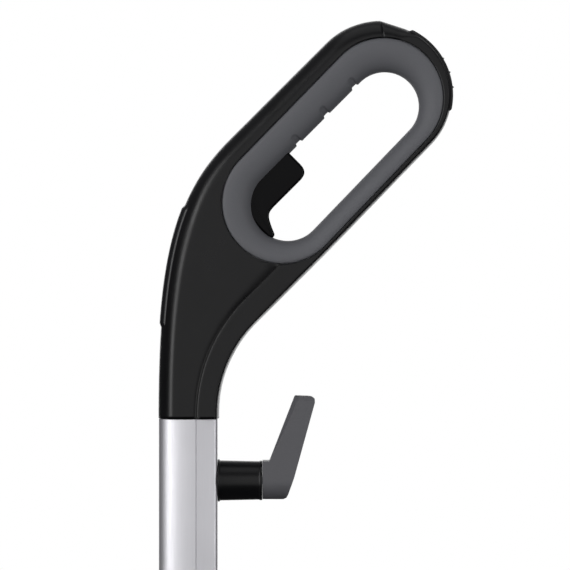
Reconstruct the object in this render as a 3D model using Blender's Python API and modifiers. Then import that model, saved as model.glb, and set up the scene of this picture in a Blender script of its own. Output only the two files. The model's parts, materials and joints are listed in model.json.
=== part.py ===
"""Upright electric carpet sweeper: loop handle, two-piece aluminium pole, swivel neck and powered floor head.

A standalone Blender 4.5 script in metres, +Z up, front towards -Y.
The origin is on the floor, under the middle of the object's bounding box.
"""

import math

import bmesh
import bpy
from mathutils import Matrix, Vector

MM = 0.001
GAP = 0.3 * MM  # the clearance kept between pieces that touch on the real object
RUN = 0.12 * MM  # the radial clearance of a pin in its hole
ROOT2 = math.sqrt(2)
SIDE_ON = (math.pi / 2, 0, math.pi / 2)  # turns a drawing in X, Y into one in Y, Z
TO_X = (0, math.pi / 2, 0)  # turns a Z axis to +X
TO_REAR = (-math.pi / 2, 0, 0)  # turns a Z axis to +Y

# Overall layout
POLE_Y = -24 * MM  # the pole's axis, and the pivots below it
NECK_Z = 912 * MM  # where the handle's neck meets the upper tube
COLLAR_Z = 505 * MM  # where the two tubes meet
BUTTON_Z = COLLAR_Z + 17 * MM
PIVOT_Z = 56 * MM  # recline pivot
SWIVEL_Z = 98 * MM  # steering pivot
SOCKET_Z = 152 * MM  # the lower tube's lower end

# Pole section: round front, a crease on each side, tapered towards a flat rear
TUBE_WALL = 1.5 * MM
TUBE_HALF_WIDTH = 15 * MM
TUBE_FRONT = -17.5 * MM
TUBE_REAR = 17.5 * MM
TUBE_CREASE = 5 * MM

# Handle, in its own frame: y to the rear and z up from the neck's lower edge.
# The loop leans back at 45 degrees: u runs along it, and w across it towards the rear.
HOLE = {"line": -48.4 * MM, "low": 131.2 * MM, "high": 214.0 * MM, "radius": 20.5 * MM}
RING = {"line": -52.7 * MM, "low": 131.4 * MM, "high": 218.6 * MM, "radius": 35.7 * MM}
FRONT_LINE = -100.5 * MM  # w of the grip bar's outer edge
FRONT_ARC = (217.1 * MM, -53.7 * MM)
FRONT_RADIUS = 46.8 * MM
END_ARC = (219.4 * MM, -55.4 * MM)
END_RADIUS = 41.9 * MM
TOP_SEAM = (250.0 * MM, -86.8 * MM)
NECK_HALF_WIDTH = 15.4 * MM
LOOP_HALF_WIDTH = 14.2 * MM
SHELL_WALL = 2.2 * MM
RING_WALL = 2.6 * MM
EDGE_GAP = 0.42 * MM  # between the handle's visible edges
SEAM_ANGLE = 137.2  # where the seam meets the ring
TRIGGER_PIVOT = (107.4 * MM, -66.7 * MM)

# Cord hook
HOOK_Z = -37.4 * MM
HOOK_FACE = 44.6 * MM  # where the arm meets its post

# Floor head
HEAD_HALF_WIDTH = 136 * MM  # without the bumper
HEAD_FRONT = -135.1 * MM
HEAD_REAR = 70 * MM
FLOOR_GAP = 10 * MM
BRUSH = (-86 * MM, 31 * MM)  # y and z of the brush roll's axis
BRUSH_TIP = 28.5 * MM
MOTOR = (-18 * MM, 31 * MM)
WHEEL = (44 * MM, 19 * MM)
ROLLER = (-104 * MM, 7 * MM)
BELT_X = -129 * MM
BRUSH_PULLEY = 14 * MM
MOTOR_PULLEY = 6 * MM
COVER_SCREWS = [(-110 * MM, -46 * MM), (110 * MM, -46 * MM), (-37 * MM, -2 * MM), (37 * MM, -2 * MM)]
SCREW_SINK = 1.7 * MM  # depth of the screws' seats, so that the heads stay within the floor plate
POST_TOPS = (57.4 * MM, 57.4 * MM, 48.8 * MM, 48.8 * MM)


# ---------------------------------------------------------------- scene and materials


def clear_scene():
    for obj in list(bpy.data.objects):
        bpy.data.objects.remove(obj, do_unlink=True)


def new_collection(name):
    made = bpy.data.collections.new(name)
    bpy.context.scene.collection.children.link(made)
    return made


def new_material(name, colour, roughness, metallic=0.0):
    material = bpy.data.materials.new(name)
    material.use_nodes = True
    shader = material.node_tree.nodes["Principled BSDF"]
    shader.inputs["Base Color"].default_value = (*colour, 1)
    shader.inputs["Roughness"].default_value = roughness
    shader.inputs["Metallic"].default_value = metallic
    return material


clear_scene()
PARTS = new_collection("carpet_sweeper")
CUTTERS = new_collection("cutters")
BLACK = new_material("black_plastic", (0.012, 0.012, 0.013), 0.45)
GREY = new_material("grey_soft_grip", (0.09, 0.092, 0.098), 0.6)
RUBBER = new_material("black_rubber", (0.02, 0.02, 0.02), 0.8)
ALUMINIUM = new_material("aluminium", (0.78, 0.78, 0.8), 0.3, 1.0)
STEEL = new_material("steel", (0.6, 0.6, 0.6), 0.3, 1.0)
SMOKED = new_material("smoked_plastic", (0.05, 0.05, 0.055), 0.1)
BRISTLE = new_material("bristle", (0.1, 0.1, 0.11), 0.7)


# ---------------------------------------------------------------- building blocks


def empty(name, location, parent=None):
    made = bpy.data.objects.new(name, None)
    made.empty_display_size = 0.02
    made.location = location
    made.parent = parent
    PARTS.objects.link(made)
    return made


def add_object(name, mesh, material, parent=None, at=(0, 0, 0), turn=(0, 0, 0)):
    mesh.materials.clear()
    if material:
        mesh.materials.append(material)
    made = bpy.data.objects.new(name, mesh)
    made.location = at
    made.rotation_euler = turn
    made.parent = parent
    (PARTS if material else CUTTERS).objects.link(made)
    if not material:
        made.hide_render = True
        made.display_type = "WIRE"
    return made


def from_bmesh(name, shape, material, smooth_angle=35, outward=True, **place):
    if outward:
        bmesh.ops.recalc_face_normals(shape, faces=shape.faces)
    mesh = bpy.data.meshes.new(name)
    shape.to_mesh(mesh)
    shape.free()
    mesh.shade_smooth()
    mesh.set_sharp_from_angle(angle=math.radians(smooth_angle))
    return add_object(name, mesh, material, **place)


def block(name, size, material, at=(0, 0, 0), bevel=0.0, **place):
    """A box of that size, centred at its location."""
    shape = bmesh.new()
    bmesh.ops.create_cube(shape, size=1)
    bmesh.ops.scale(shape, vec=size, verts=shape.verts)
    made = from_bmesh(name, shape, material, at=at, **place)
    if bevel:
        round_edges(made, bevel)
    return made


def rod(name, radius, length, material, at=(0, 0, 0), turn=TO_X, sides=20, end=None, **place):
    """A cylinder, or a cone with its end radius, centred at its location."""
    shape = bmesh.new()
    bmesh.ops.create_cone(
        shape, cap_ends=True, segments=sides, radius1=radius,
        radius2=radius if end is None else end, depth=length,
    )
    return from_bmesh(name, shape, material, at=at, turn=turn, **place)


def turned(name, profile, material, at=(0, 0, 0), turn=(0, 0, 0), steps=24, **place):
    """A solid of revolution about its Z axis. The profile's (radius, z) points run from the top down."""
    mesh = bpy.data.meshes.new(name)
    points = [(radius, 0, z) for radius, z in profile]
    closed = profile[0][0] > 0
    edges = [(i, i + 1) for i in range(len(points) - 1)]
    if closed:
        edges.append((len(points) - 1, 0))
    mesh.from_pydata(points, edges, [])
    made = add_object(name, mesh, material, at=at, turn=turn, **place)
    screw = made.modifiers.new("turn", "SCREW")
    screw.steps = screw.render_steps = steps
    screw.use_merge_vertices = True
    screw.merge_threshold = 0.00001
    screw.use_smooth_shade = True
    return made


def mesh_of_curve(name, curve, material, **place):
    """The curve's evaluated mesh as a new object with its caps welded; the curve is removed."""
    PARTS.objects.link(curve)
    bpy.context.view_layer.update()
    graph = bpy.context.evaluated_depsgraph_get()
    mesh = bpy.data.meshes.new_from_object(curve.evaluated_get(graph))
    bpy.data.objects.remove(curve, do_unlink=True)
    shape = bmesh.new()
    shape.from_mesh(mesh)
    bmesh.ops.remove_doubles(shape, verts=shape.verts, dist=0.000001)
    bpy.data.meshes.remove(mesh)
    return from_bmesh(name, shape, material, **place)


def prism(name, outline, thickness, material, at=(0, 0, 0), turn=SIDE_ON, bevel=0.0, **place):
    """A flat outline, extruded evenly to both sides of its plane."""
    data = bpy.data.curves.new(name, "CURVE")
    data.dimensions = "2D"
    data.fill_mode = "BOTH"
    data.extrude = thickness / 2
    spline = data.splines.new("POLY")
    spline.points.add(len(outline) - 1)
    for point, (x, y) in zip(spline.points, outline):
        point.co = (x, y, 0, 1)
    spline.use_cyclic_u = True
    made = mesh_of_curve(name, bpy.data.objects.new(name, data), material, at=at, turn=turn, **place)
    if bevel:
        round_edges(made, bevel)
    return made


def wire(name, points, radius, material, resolution=2, **place):
    """A round wire along those points."""
    data = bpy.data.curves.new(name, "CURVE")
    data.dimensions = "3D"
    data.bevel_depth = radius
    data.bevel_resolution = resolution
    data.use_fill_caps = True
    spline = data.splines.new("POLY")
    spline.points.add(len(points) - 1)
    for point, place_at in zip(spline.points, points):
        point.co = (*place_at, 1)
    made = mesh_of_curve(name, bpy.data.objects.new(name, data), material, **place)
    return made


def round_edges(obj, width, segments=2, angle=40):
    bevel = obj.modifiers.new("round", "BEVEL")
    bevel.width = width
    bevel.segments = segments
    bevel.limit_method = "ANGLE"
    bevel.angle_limit = math.radians(angle)


def boolean(obj, operation, *others):
    for other in others:
        if other.name not in CUTTERS.objects:
            for home in list(other.users_collection):
                home.objects.unlink(other)
            CUTTERS.objects.link(other)
            other.hide_render = True
            other.display_type = "WIRE"
        modifier = obj.modifiers.new(operation.lower(), "BOOLEAN")
        modifier.operation = operation
        modifier.solver = "EXACT"
        modifier.object = other


def cut(obj, *cutters):
    boolean(obj, "DIFFERENCE", *cutters)


def join(obj, *pieces):
    boolean(obj, "UNION", *pieces)


def skin(name, rings, material, wall, closed_ring=False, flip=False, **place):
    """A shell: an open surface lofted through rings of points, with its wall inside."""
    shape = bmesh.new()
    rows = [[shape.verts.new(point) for point in ring] for ring in rings]
    count = len(rows[0])
    for low, high in zip(rows, rows[1:]):
        for i in range(count if closed_ring else count - 1):
            j = (i + 1) % count
            corners = (low[i], low[j], high[j], high[i])
            shape.faces.new(corners[::-1] if flip else corners)
    made = from_bmesh(name, shape, material, outward=False, **place)
    solidify = made.modifiers.new("wall", "SOLIDIFY")
    solidify.thickness = wall
    solidify.offset = -1
    solidify.use_even_offset = False
    return made


def loft(name, rings, material, **place):
    """A solid lofted through closed rings of points, with flat ends."""
    shape = bmesh.new()
    rows = [[shape.verts.new(point) for point in ring] for ring in rings]
    count = len(rows[0])
    for low, high in zip(rows, rows[1:]):
        for i in range(count):
            j = (i + 1) % count
            shape.faces.new((low[i], low[j], high[j], high[i]))
    shape.faces.new(rows[0])
    shape.faces.new(rows[-1])
    return from_bmesh(name, shape, material, **place)


# ---------------------------------------------------------------- plane curves


def arc(centre, radius, start, end, count):
    """Points on a circle from one angle to another, in degrees."""
    angles = [math.radians(start + (end - start) * i / (count - 1)) for i in range(count)]
    return [(centre[0] + radius * math.cos(a), centre[1] + radius * math.sin(a)) for a in angles]


def bezier(points, count):
    made = []
    for i in range(count):
        t = i / (count - 1)
        weights = ((1 - t) ** 3, 3 * t * (1 - t) ** 2, 3 * t * t * (1 - t), t**3)
        made.append(tuple(sum(w * p[axis] for w, p in zip(weights, points)) for axis in (0, 1)))
    return made


def resample(points, count):
    """The same path with evenly spaced points."""
    lengths = [0.0]
    for a, b in zip(points, points[1:]):
        lengths.append(lengths[-1] + math.dist(a, b))
    made = []
    for i in range(count):
        target = lengths[-1] * i / (count - 1)
        j = next(k for k in range(1, len(lengths)) if lengths[k] >= target - 1e-12)
        share = (target - lengths[j - 1]) / (lengths[j] - lengths[j - 1])
        a, b = points[j - 1], points[j]
        made.append((a[0] + (b[0] - a[0]) * share, a[1] + (b[1] - a[1]) * share))
    return made


def normals_of(points):
    """Unit normals, to the right of the way the path runs."""
    made = []
    for i in range(len(points)):
        a, b = points[max(i - 1, 0)], points[min(i + 1, len(points) - 1)]
        length = math.dist(a, b)
        made.append(((b[1] - a[1]) / length, -(b[0] - a[0]) / length))
    return made


def offset_ring(points, distance):
    """A closed outline, moved inwards by a distance; the outline runs counterclockwise."""
    made = []
    count = len(points)
    for i, point in enumerate(points):
        a, b = points[i - 1], points[(i + 1) % count]
        length = math.dist(a, b)
        made.append((point[0] - distance * (b[1] - a[1]) / length,
                     point[1] + distance * (b[0] - a[0]) / length))
    return made


def leaning(u, w):
    """(y, z) in the handle's frame of a point given along and across the loop."""
    return ((u + w) / ROOT2, (u - w) / ROOT2)


def leaning_arc(centre, radius, start, end, count):
    """Points on a circle about a (u, w) centre. Angle 0 points along +u and 90 along +w."""
    return [leaning(*point) for point in arc(centre, radius, start, end, count)]


# ---------------------------------------------------------------- pole


def pole_section(inset=0.0, front_steps=7):
    """The tube's outline, counterclockwise from above, moved inwards by an inset."""
    roundness = 2 / 2.8
    half = []
    for i in range(front_steps + 1):
        t = math.pi / 2 * i / front_steps
        x = TUBE_HALF_WIDTH * math.sin(t) ** roundness
        y = TUBE_CREASE + (TUBE_FRONT - TUBE_CREASE) * math.cos(t) ** roundness
        half.append((x, y))
    corner = 2.4 * MM
    half += arc((12.4 * MM - corner, TUBE_REAR - corner), corner, 12, 90, 4)
    other = [(-x, y) for x, y in reversed(half) if x > 1e-9]
    return offset_ring(half + other, inset)


def pole_ring(z, inset=0.0, scale=1.0):
    return [(x * scale, y * scale, z) for x, y in pole_section(inset)]


def tubes(pole):
    """The two drawn tubes. The upper one has a hole for the release button's stem."""
    upper = skin("upper_tube", [pole_ring(COLLAR_Z + 1.5 * MM), pole_ring(NECK_Z - GAP)],
                 ALUMINIUM, TUBE_WALL, closed_ring=True, parent=pole)
    skin("lower_tube", [pole_ring(SOCKET_Z), pole_ring(COLLAR_Z - 1.5 * MM)],
         ALUMINIUM, TUBE_WALL, closed_ring=True, parent=pole)
    cut(upper, rod("button_hole", 4.6 * MM, 10 * MM, None, at=(0, TUBE_FRONT, BUTTON_Z), turn=TO_REAR,
                   parent=pole))


def collar(pole):
    """Sleeve over the joint of the two tubes, with the release button's guide."""
    low, high = COLLAR_Z - 34 * MM, COLLAR_Z + 34 * MM
    made = skin("tube_collar", [
        pole_ring(low, -1.6 * MM), pole_ring(low + 2 * MM, -3 * MM),
        pole_ring(high - 2 * MM, -3 * MM), pole_ring(high, -1.6 * MM)],
        BLACK, 1.25 * MM, closed_ring=True, parent=pole)
    cut(made, rod("collar_button_bore", 7.5 * MM, 12 * MM, None, at=(0, TUBE_FRONT - 1 * MM, BUTTON_Z),
                  turn=TO_REAR, sides=24, parent=pole))


def release_button(pole):
    """Push button whose stem locks the upper tube. It slides to the rear."""
    slide = empty("release_button_slide", (0, TUBE_FRONT - 5 * MM, BUTTON_Z), pole)
    turned("release_button", [
        (0, 5.0 * MM), (4.0 * MM, 5.0 * MM), (6.2 * MM, 4.6 * MM), (7.0 * MM, 3.6 * MM),
        (7.0 * MM, 1.2 * MM), (4.0 * MM, 1.2 * MM), (4.0 * MM, -9.0 * MM), (0, -9.0 * MM)],
        GREY, turn=(math.pi / 2, 0, 0), at=(0, 1.4 * MM, 0), parent=slide)
    spring_points = coil(3.2 * MM, 12.5 * MM, 26 * MM, turns=4)
    wire("button_spring", [(x, y, z) for x, z, y in spring_points], 0.35 * MM, STEEL, resolution=1,
         parent=slide)


def coil(radius, start, end, turns, per_turn=10):
    """Centreline of a coil about Z."""
    count = turns * per_turn
    return [(radius * math.cos(2 * math.pi * i / per_turn), radius * math.sin(2 * math.pi * i / per_turn),
             start + (end - start) * i / count) for i in range(count + 1)]


def cord_hooks(pole):
    """The turning upper hook on its post, and the fixed lower hook."""
    z = NECK_Z + HOOK_Z
    post_length = HOOK_FACE - GAP - TUBE_REAR - GAP
    turned("hook_post", [
        (2.5 * MM, post_length), (11.2 * MM, post_length), (11.5 * MM, post_length - 0.5 * MM),
        (12.1 * MM, 10 * MM), (12.7 * MM, 0.6 * MM), (12.7 * MM, 0), (2.5 * MM, 0)],
        BLACK, at=(0, TUBE_REAR + GAP, z), turn=TO_REAR, parent=pole, steps=32)
    turn = empty("cord_hook_turn", (0, HOOK_FACE, z), pole)
    side = [(0, -11 * MM), (12.4 * MM, -11 * MM), (15.0 * MM, -9.4 * MM), (19.0 * MM, 2 * MM),
            (31.4 * MM, 47.6 * MM), (30.8 * MM, 49.6 * MM), (29.0 * MM, 50.6 * MM), (19.4 * MM, 51 * MM),
            (4.2 * MM, 11.9 * MM), (0, 11.9 * MM)]
    rear = arc((0, 0), 11.4 * MM, 175, 365, 20)
    rear += [(8.4 * MM, 46 * MM), (6.6 * MM, 50 * MM), (-6.6 * MM, 50 * MM), (-8.4 * MM, 46 * MM)]
    arm = prism("upper_cord_hook", side, 40 * MM, GREY, parent=turn)
    front_view = prism("hook_front_view", rear, 90 * MM, None,
                       at=(0, 20 * MM, 0), turn=(math.pi / 2, 0, 0), parent=turn)
    boolean(arm, "INTERSECT", front_view)
    socket = rod("hook_screw_socket", 4.0 * MM, 14 * MM, None, turn=TO_REAR, parent=turn)
    cut(arm, socket)
    round_edges(arm, 0.9 * MM, angle=35)
    turned("hook_screw", [
        (0, 6.6 * MM), (3.5 * MM, 6.6 * MM), (3.5 * MM, 4.0 * MM), (2.2 * MM, 4.0 * MM),
        (2.2 * MM, -26 * MM), (0, -26.4 * MM)],
        STEEL, at=(0, HOOK_FACE, z), turn=TO_REAR, parent=pole, steps=16)
    low = [(0, -9 * MM), (6 * MM, -10 * MM), (13 * MM, -12 * MM), (17 * MM, -30 * MM), (20 * MM, -33 * MM),
           (26 * MM, -32 * MM), (27.5 * MM, -29 * MM), (25 * MM, 2 * MM), (21 * MM, 8 * MM), (0, 9 * MM)]
    prism("lower_cord_hook", low, 18 * MM, GREY, bevel=1.6 * MM,
          at=(0, TUBE_REAR + 3.1 * MM + GAP, COLLAR_Z + 22 * MM), parent=pole)


def cord_gland(pole):
    """Strain-relief gland where a mains cord enters at the back of the collar."""
    length = 15 * MM
    turned("cord_gland", [
        (3.6 * MM, length), (5.0 * MM, length), (5.6 * MM, 9 * MM), (6.8 * MM, 1.5 * MM),
        (8.2 * MM, 1.4 * MM), (8.2 * MM, 0), (3.6 * MM, 0)],
        RUBBER, at=(0, TUBE_REAR + 3.1 * MM + GAP, COLLAR_Z - 22 * MM), turn=TO_REAR, parent=pole)


def neck_and_trunnion(pole, trunnion):
    """Universal joint: a block that reclines on a cross pin, and a forked neck that leans on it."""
    block_height = SWIVEL_Z - PIVOT_Z
    barrel = rod("trunnion_block", 11 * MM, 32 * MM, BLACK, parent=trunnion, sides=28)
    tongue = prism("trunnion_tongue", arc((0, block_height), 12 * MM, 0, 180, 13)
                   + [(-12 * MM, 0), (12 * MM, 0)], 14 * MM, None, turn=(math.pi / 2, 0, 0),
                   parent=trunnion)
    join(barrel, tongue)
    cut(barrel,
        rod("pivot_bore", 4 * MM + RUN, 60 * MM, None, parent=trunnion, sides=24),
        rod("swivel_bore", 3.5 * MM + RUN, 60 * MM, None, at=(0, 0, block_height), turn=TO_REAR,
            parent=trunnion, sides=24))
    rod("swivel_pin", 3.5 * MM, 25 * MM, STEEL, at=(0, 0, block_height), turn=TO_REAR,
        parent=trunnion, sides=24)
    rings = []
    for z, width, depth in ((16 * MM, 15 * MM, 14 * MM), (24 * MM, 17.5 * MM, 17 * MM),
                            (44 * MM, 18.6 * MM, 19.6 * MM), (50 * MM, 18.6 * MM, 20.6 * MM),
                            (104 * MM, 18.0 * MM, 20.2 * MM), (108 * MM, 16.8 * MM, 19.2 * MM)):
        rings.append([(width * math.copysign(abs(math.cos(a)) ** 0.8, math.cos(a)),
                       depth * math.copysign(abs(math.sin(a)) ** 0.8, math.sin(a)), SWIVEL_Z + z)
                      for a in (2 * math.pi * i / 28 for i in range(28))])
    neck = loft("swivel_neck", rings, BLACK, parent=pole)
    socket = loft("neck_socket", [pole_ring(SOCKET_Z - 2 * MM, -GAP), pole_ring(SWIVEL_Z + 130 * MM, -GAP)],
                  None, parent=pole)
    ears = []
    for side in (-1, 1):
        ears.append(prism(f"neck_ear_{side}", arc((0, 0), 12.5 * MM, 180, 360, 13)
                          + [(12.5 * MM, 22 * MM), (-12.5 * MM, 22 * MM)], 5 * MM, None,
                          at=(0, side * 10 * MM, SWIVEL_Z), turn=(math.pi / 2, 0, 0), parent=pole))
    join(neck, *ears)
    cut(neck, socket,
        rod("neck_bore", 3.5 * MM + RUN, 60 * MM, None, at=(0, 0, SWIVEL_Z), turn=TO_REAR, parent=pole,
            sides=24),
        rod("neck_wire_bore", 5 * MM, 20 * MM, None, at=(0, 0, SOCKET_Z - 6 * MM), turn=(0, 0, 0),
            parent=pole))
    rod("trunnion_pin", 4 * MM, 50 * MM, STEEL, at=(0, POLE_Y, PIVOT_Z), sides=24)


# ---------------------------------------------------------------- handle


def half_width(point):
    """Half the handle's thickness where a point (y, z) lies: a little less at the loop's far end."""
    along = (point[0] + point[1]) / ROOT2 / (260 * MM)
    share = min(max(along, 0), 1)
    return NECK_HALF_WIDTH + (LOOP_HALF_WIDTH - NECK_HALF_WIDTH) * share


def shell_rings(outer, inner, corner, crown, steps=4):
    """Cross-sections of a shell from its inner edge at one side, over its outer edge, to the other side.

    The corner rounds the side into the outer face over (depth, width), each at most the depth there.
    """
    rings = []
    for out, inn in zip(outer, inner):
        wide = half_width(out)
        span = math.dist(out, inn)
        normal = ((inn[0] - out[0]) / span, (inn[1] - out[1]) / span)
        reach = span - 0.4 * MM
        depth, width = min(corner[0], reach), min(corner[1], 1.6 * reach)
        bulge = min(crown, 0.3 * depth)
        half = [(inn[0], inn[1], half_width(inn))]
        for i in range(steps + 1):
            a = math.pi / 2 * i / steps
            inset = bulge + (depth - bulge) * (1 - math.sin(a))
            half.append((out[0] + normal[0] * inset, out[1] + normal[1] * inset,
                         wide - width + width * math.cos(a)))
        flat = wide - width
        half.append((out[0] + normal[0] * bulge * 0.25, out[1] + normal[1] * bulge * 0.25, flat / 2))
        ring = [(x, y, z) for y, z, x in half] + [(0, *out)]
        ring += [(-x, y, z) for y, z, x in reversed(half)]
        rings.append(ring)
    return rings


def ring_arc(end, start, stop, count):
    """Points just outside the grip ring, along its low or high end, between two angles."""
    centre = (RING[end], RING["line"])
    return leaning_arc(centre, RING["radius"] + EDGE_GAP, start, stop, count)


def seam_curve(count, side):
    """The joint between the shells, from the neck's foot up to the grip ring. Side is -1 for the front."""
    shift = side * EDGE_GAP / 2
    radius, foot, low = 98 * MM, 5.3 * MM + shift, 2 * MM
    curve = [(foot, 0)] + arc((foot + radius, low), radius, 180, 137, 12)
    angle = SEAM_ANGLE - math.degrees(shift / RING["radius"])
    curve += ring_arc("low", angle, angle, 2)[:1]
    return resample(curve, count)


def front_outline():
    """The front shell's outer edge, in three runs from the neck's foot to the top seam."""
    foot, top = TUBE_FRONT - 0.3 * MM, leaning(134.1 * MM, FRONT_LINE)
    neck = bezier([(foot, 0), (foot, 95 * MM), (-7.8 * MM, 133.9 * MM), top], 24)
    bar = [top, leaning(FRONT_ARC[0], FRONT_LINE)]
    end = leaning_arc(FRONT_ARC, FRONT_RADIUS, -90, -45.2, 8)
    return neck, bar, end


def rear_outline():
    """The rear shell's outer edge, in four runs from the neck's foot to the top seam."""
    foot = 18.6 * MM
    neck = [(foot, 0)] + arc((foot + 76 * MM, 3 * MM), 76 * MM, 180, 135, 12)
    start = (neck[-1][0] + neck[-1][1]) / ROOT2
    low_w, high_w = -11.4 * MM, END_ARC[1] + END_RADIUS
    share = (RING["low"] - start) / (END_ARC[0] - start)
    middle = leaning(RING["low"], low_w + (high_w - low_w) * share)
    bar_low = [neck[-1], middle]
    bar_high = [middle, leaning(END_ARC[0], high_w)]
    end = leaning_arc(END_ARC, END_RADIUS, 90, -27, 22)
    end.append(leaning(TOP_SEAM[0] + 0.4 * MM, TOP_SEAM[1] + 0.75 * MM))
    return neck, bar_low, bar_high, end


def chain(runs, counts):
    """Runs of a path joined into one, each resampled to its own number of points."""
    made = []
    for run, count in zip(runs, counts):
        points = resample(run, count)
        made += points if not made else points[1:]
    return made


def front_edges():
    """Outer and inner edges of the front shell, run by run."""
    angle = SEAM_ANGLE + 0.3 - 360
    neck = seam_curve(14, -1) + ring_arc("low", angle, -90, 18)[1:]
    top = leaning(RING["high"], RING["line"] - RING["radius"] - EDGE_GAP)
    bar = [neck[-1], top]
    end = ring_arc("high", -90, -45.2, 8)
    return front_outline(), (neck, bar, end)


def rear_edges():
    """Outer and inner edges of the rear shell, run by run."""
    seam = seam_curve(14, 1)
    neck, rest = seam[:10], seam[9:]
    bar_low = rest + ring_arc("low", SEAM_ANGLE - 0.3, 90, 8)[1:]
    top = leaning(RING["high"], RING["line"] + RING["radius"] + EDGE_GAP)
    bar_high = [bar_low[-1], top]
    end = ring_arc("high", 90, -44.0, 16)
    return rear_outline(), (neck, bar_low, bar_high, end)


def handle_shells(handle):
    outer, inner = front_edges()
    counts = (27, 4, 7)
    front = skin("handle_front_shell", shell_rings(chain(outer, counts), chain(inner, counts),
                 (11.2 * MM, 9.5 * MM), 1.3 * MM), BLACK, SHELL_WALL, flip=True, parent=handle)
    outer, inner = rear_edges()
    counts = (8, 9, 4, 16)
    rear = skin("handle_rear_shell", shell_rings(chain(outer, counts), chain(inner, counts),
                (5.0 * MM, 6.0 * MM), 0.8 * MM, steps=3), BLACK, 1.6 * MM, parent=handle)
    return front, rear


def stadium(shape, counts):
    """A slot outline in four runs, from the foot of its grip side, up, round, down and round."""
    low, high, line, radius = shape["low"], shape["high"], shape["line"], shape["radius"]
    points = []
    for run, count in zip((
        [leaning(low, line - radius), leaning(high, line - radius)],
        leaning_arc((high, line), radius, -90, 90, 40),
        [leaning(high, line + radius), leaning(low, line + radius)],
        leaning_arc((low, line), radius, 90, 270, 40),
    ), counts):
        points += resample(run, count + 1)[:-1]
    return points


def grip_ring(handle):
    """Soft ring round the hand hole, with a slot in its wall for the trigger."""
    counts = (5, 17, 4, 17)
    rings = []
    for edge, hole in zip(stadium(RING, counts), stadium(HOLE, counts)):
        wide = half_width(edge)
        ring = []
        for i in range(13):
            a = math.pi * i / 12
            across = math.copysign(abs(math.cos(a)) ** 0.8, math.cos(a)) * wide
            share = math.sin(a) ** 0.8
            ring.append((across, edge[0] + (hole[0] - edge[0]) * share,
                         edge[1] + (hole[1] - edge[1]) * share))
        rings.append(ring)
    rings.append(rings[0])
    made = skin("grip_ring", rings, GREY, RING_WALL, parent=handle)
    shape = bmesh.new()
    shape.from_mesh(made.data)
    bmesh.ops.remove_doubles(shape, verts=shape.verts, dist=0.000001)
    shape.to_mesh(made.data)
    shape.free()
    slot = leaning_block("trigger_slot", (109.5 * MM, 156.4 * MM), (-80 * MM, -50 * MM), 14.2 * MM,
                         None, handle)
    cut(made, slot)


def leaning_block(name, u_range, w_range, width, material, parent, bevel=0.0):
    """A box whose sides follow the loop's lean."""
    corners = [leaning(u_range[i], w_range[j]) for i, j in ((0, 0), (0, 1), (1, 1), (1, 0))]
    return prism(name, corners, width, material, parent=parent, bevel=bevel)


def trigger_parts(handle):
    """Trigger, its pin, return spring and the switch that it works, on a carrier inside the grip."""
    pivot = leaning(*TRIGGER_PIVOT)
    turn = empty("trigger_turn", (0, *pivot), handle)

    def about(u, w):
        y, z = leaning(u * MM, w * MM)
        return (y - pivot[0], z - pivot[1])

    outline = [about(u, w) for u, w in (
        (155.2, -74.5), (155.2, -60), (154.9, -57.4), (153.6, -55.0), (151.6, -53.8), (149.4, -53.4),
        (124.6, -53.4), (122.2, -53.2), (120.6, -52.4), (119.2, -51.0), (117.8, -48.8), (116.4, -45.8),
        (115.2, -44.0), (113.7, -44.2), (112.9, -45.6), (111.6, -52), (109.9, -58.5), (106.2, -63.0),
        (103.9, -66.0), (104.2, -69.0), (107, -70.6), (110.5, -70.2), (114, -72.5), (120, -74.5))]
    blade = prism("trigger", outline, 13 * MM, BLACK, parent=turn)
    cut(blade, rod("trigger_bore", 1.5 * MM + RUN, 40 * MM, None, parent=turn, sides=16))
    round_edges(blade, 1.4 * MM, angle=50)
    rod("trigger_pin", 1.5 * MM, 19 * MM, STEEL, at=(0, *pivot), parent=handle, sides=16)
    plate = [leaning(u * MM, w * MM) for u, w in (
        (103.5, -68), (104.8, -63.4), (108.5, -63.5), (112.5, -69), (118, -78), (157, -78), (157, -91),
        (128, -91), (108, -84))]
    carrier = prism("switch_carrier", plate, 2 * MM, BLACK, at=(8.4 * MM, 0, 0), parent=handle)
    other = prism("carrier_other_side", plate, 2 * MM, None, at=(-8.4 * MM, 0, 0), parent=handle)
    floor = leaning_block("carrier_floor", (131 * MM, 157 * MM), (-91 * MM, -89.2 * MM), 17 * MM, None,
                          handle)
    join(carrier, other, floor)
    cut(carrier, rod("carrier_bore", 1.5 * MM + RUN, 40 * MM, None, at=(0, *pivot), parent=handle,
                     sides=16))
    switch = leaning_block("micro_switch", (135 * MM, 155 * MM), (-88.8 * MM, -82.6 * MM), 9 * MM, BLACK,
                           handle)
    plunger = leaning_block("switch_plunger", (143 * MM, 147 * MM), (-84 * MM, -80.4 * MM), 4 * MM, None,
                            handle)
    join(switch, plunger)
    spring = [leaning(125 * MM + x, w) for x, y, w in coil(2.6 * MM, -75.2 * MM, -97.0 * MM, 5)]
    across = [y for x, y, w in coil(2.6 * MM, -75.2 * MM, -97.0 * MM, 5)]
    wire("trigger_spring", [(x, *point) for x, point in zip(across, spring)], 0.35 * MM, STEEL,
         resolution=1, parent=handle)


def indicator_panel(handle):
    """Curved indicator panel, proud of the front of the neck."""
    outline = resample(front_outline()[0], 60)
    outer = [p for p in outline if 54 * MM <= p[1] <= 128.5 * MM][::3]
    rings = []
    for point, normal in zip(outer, normals_of(outer)):
        ring = []
        for x, height in ((-9.6, -1.5), (-9.4, 0.6), (-8.2, 1.45), (-4, 1.85), (0, 1.95), (4, 1.85),
                          (8.2, 1.45), (9.4, 0.6), (9.6, -1.5), (5, -0.1), (0, 0.25), (-5, -0.1)):
            ring.append((x * MM, point[0] - normal[0] * height * MM, point[1] - normal[1] * height * MM))
        rings.append(ring)
    loft("indicator_panel", rings, BLACK, parent=handle)


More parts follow.
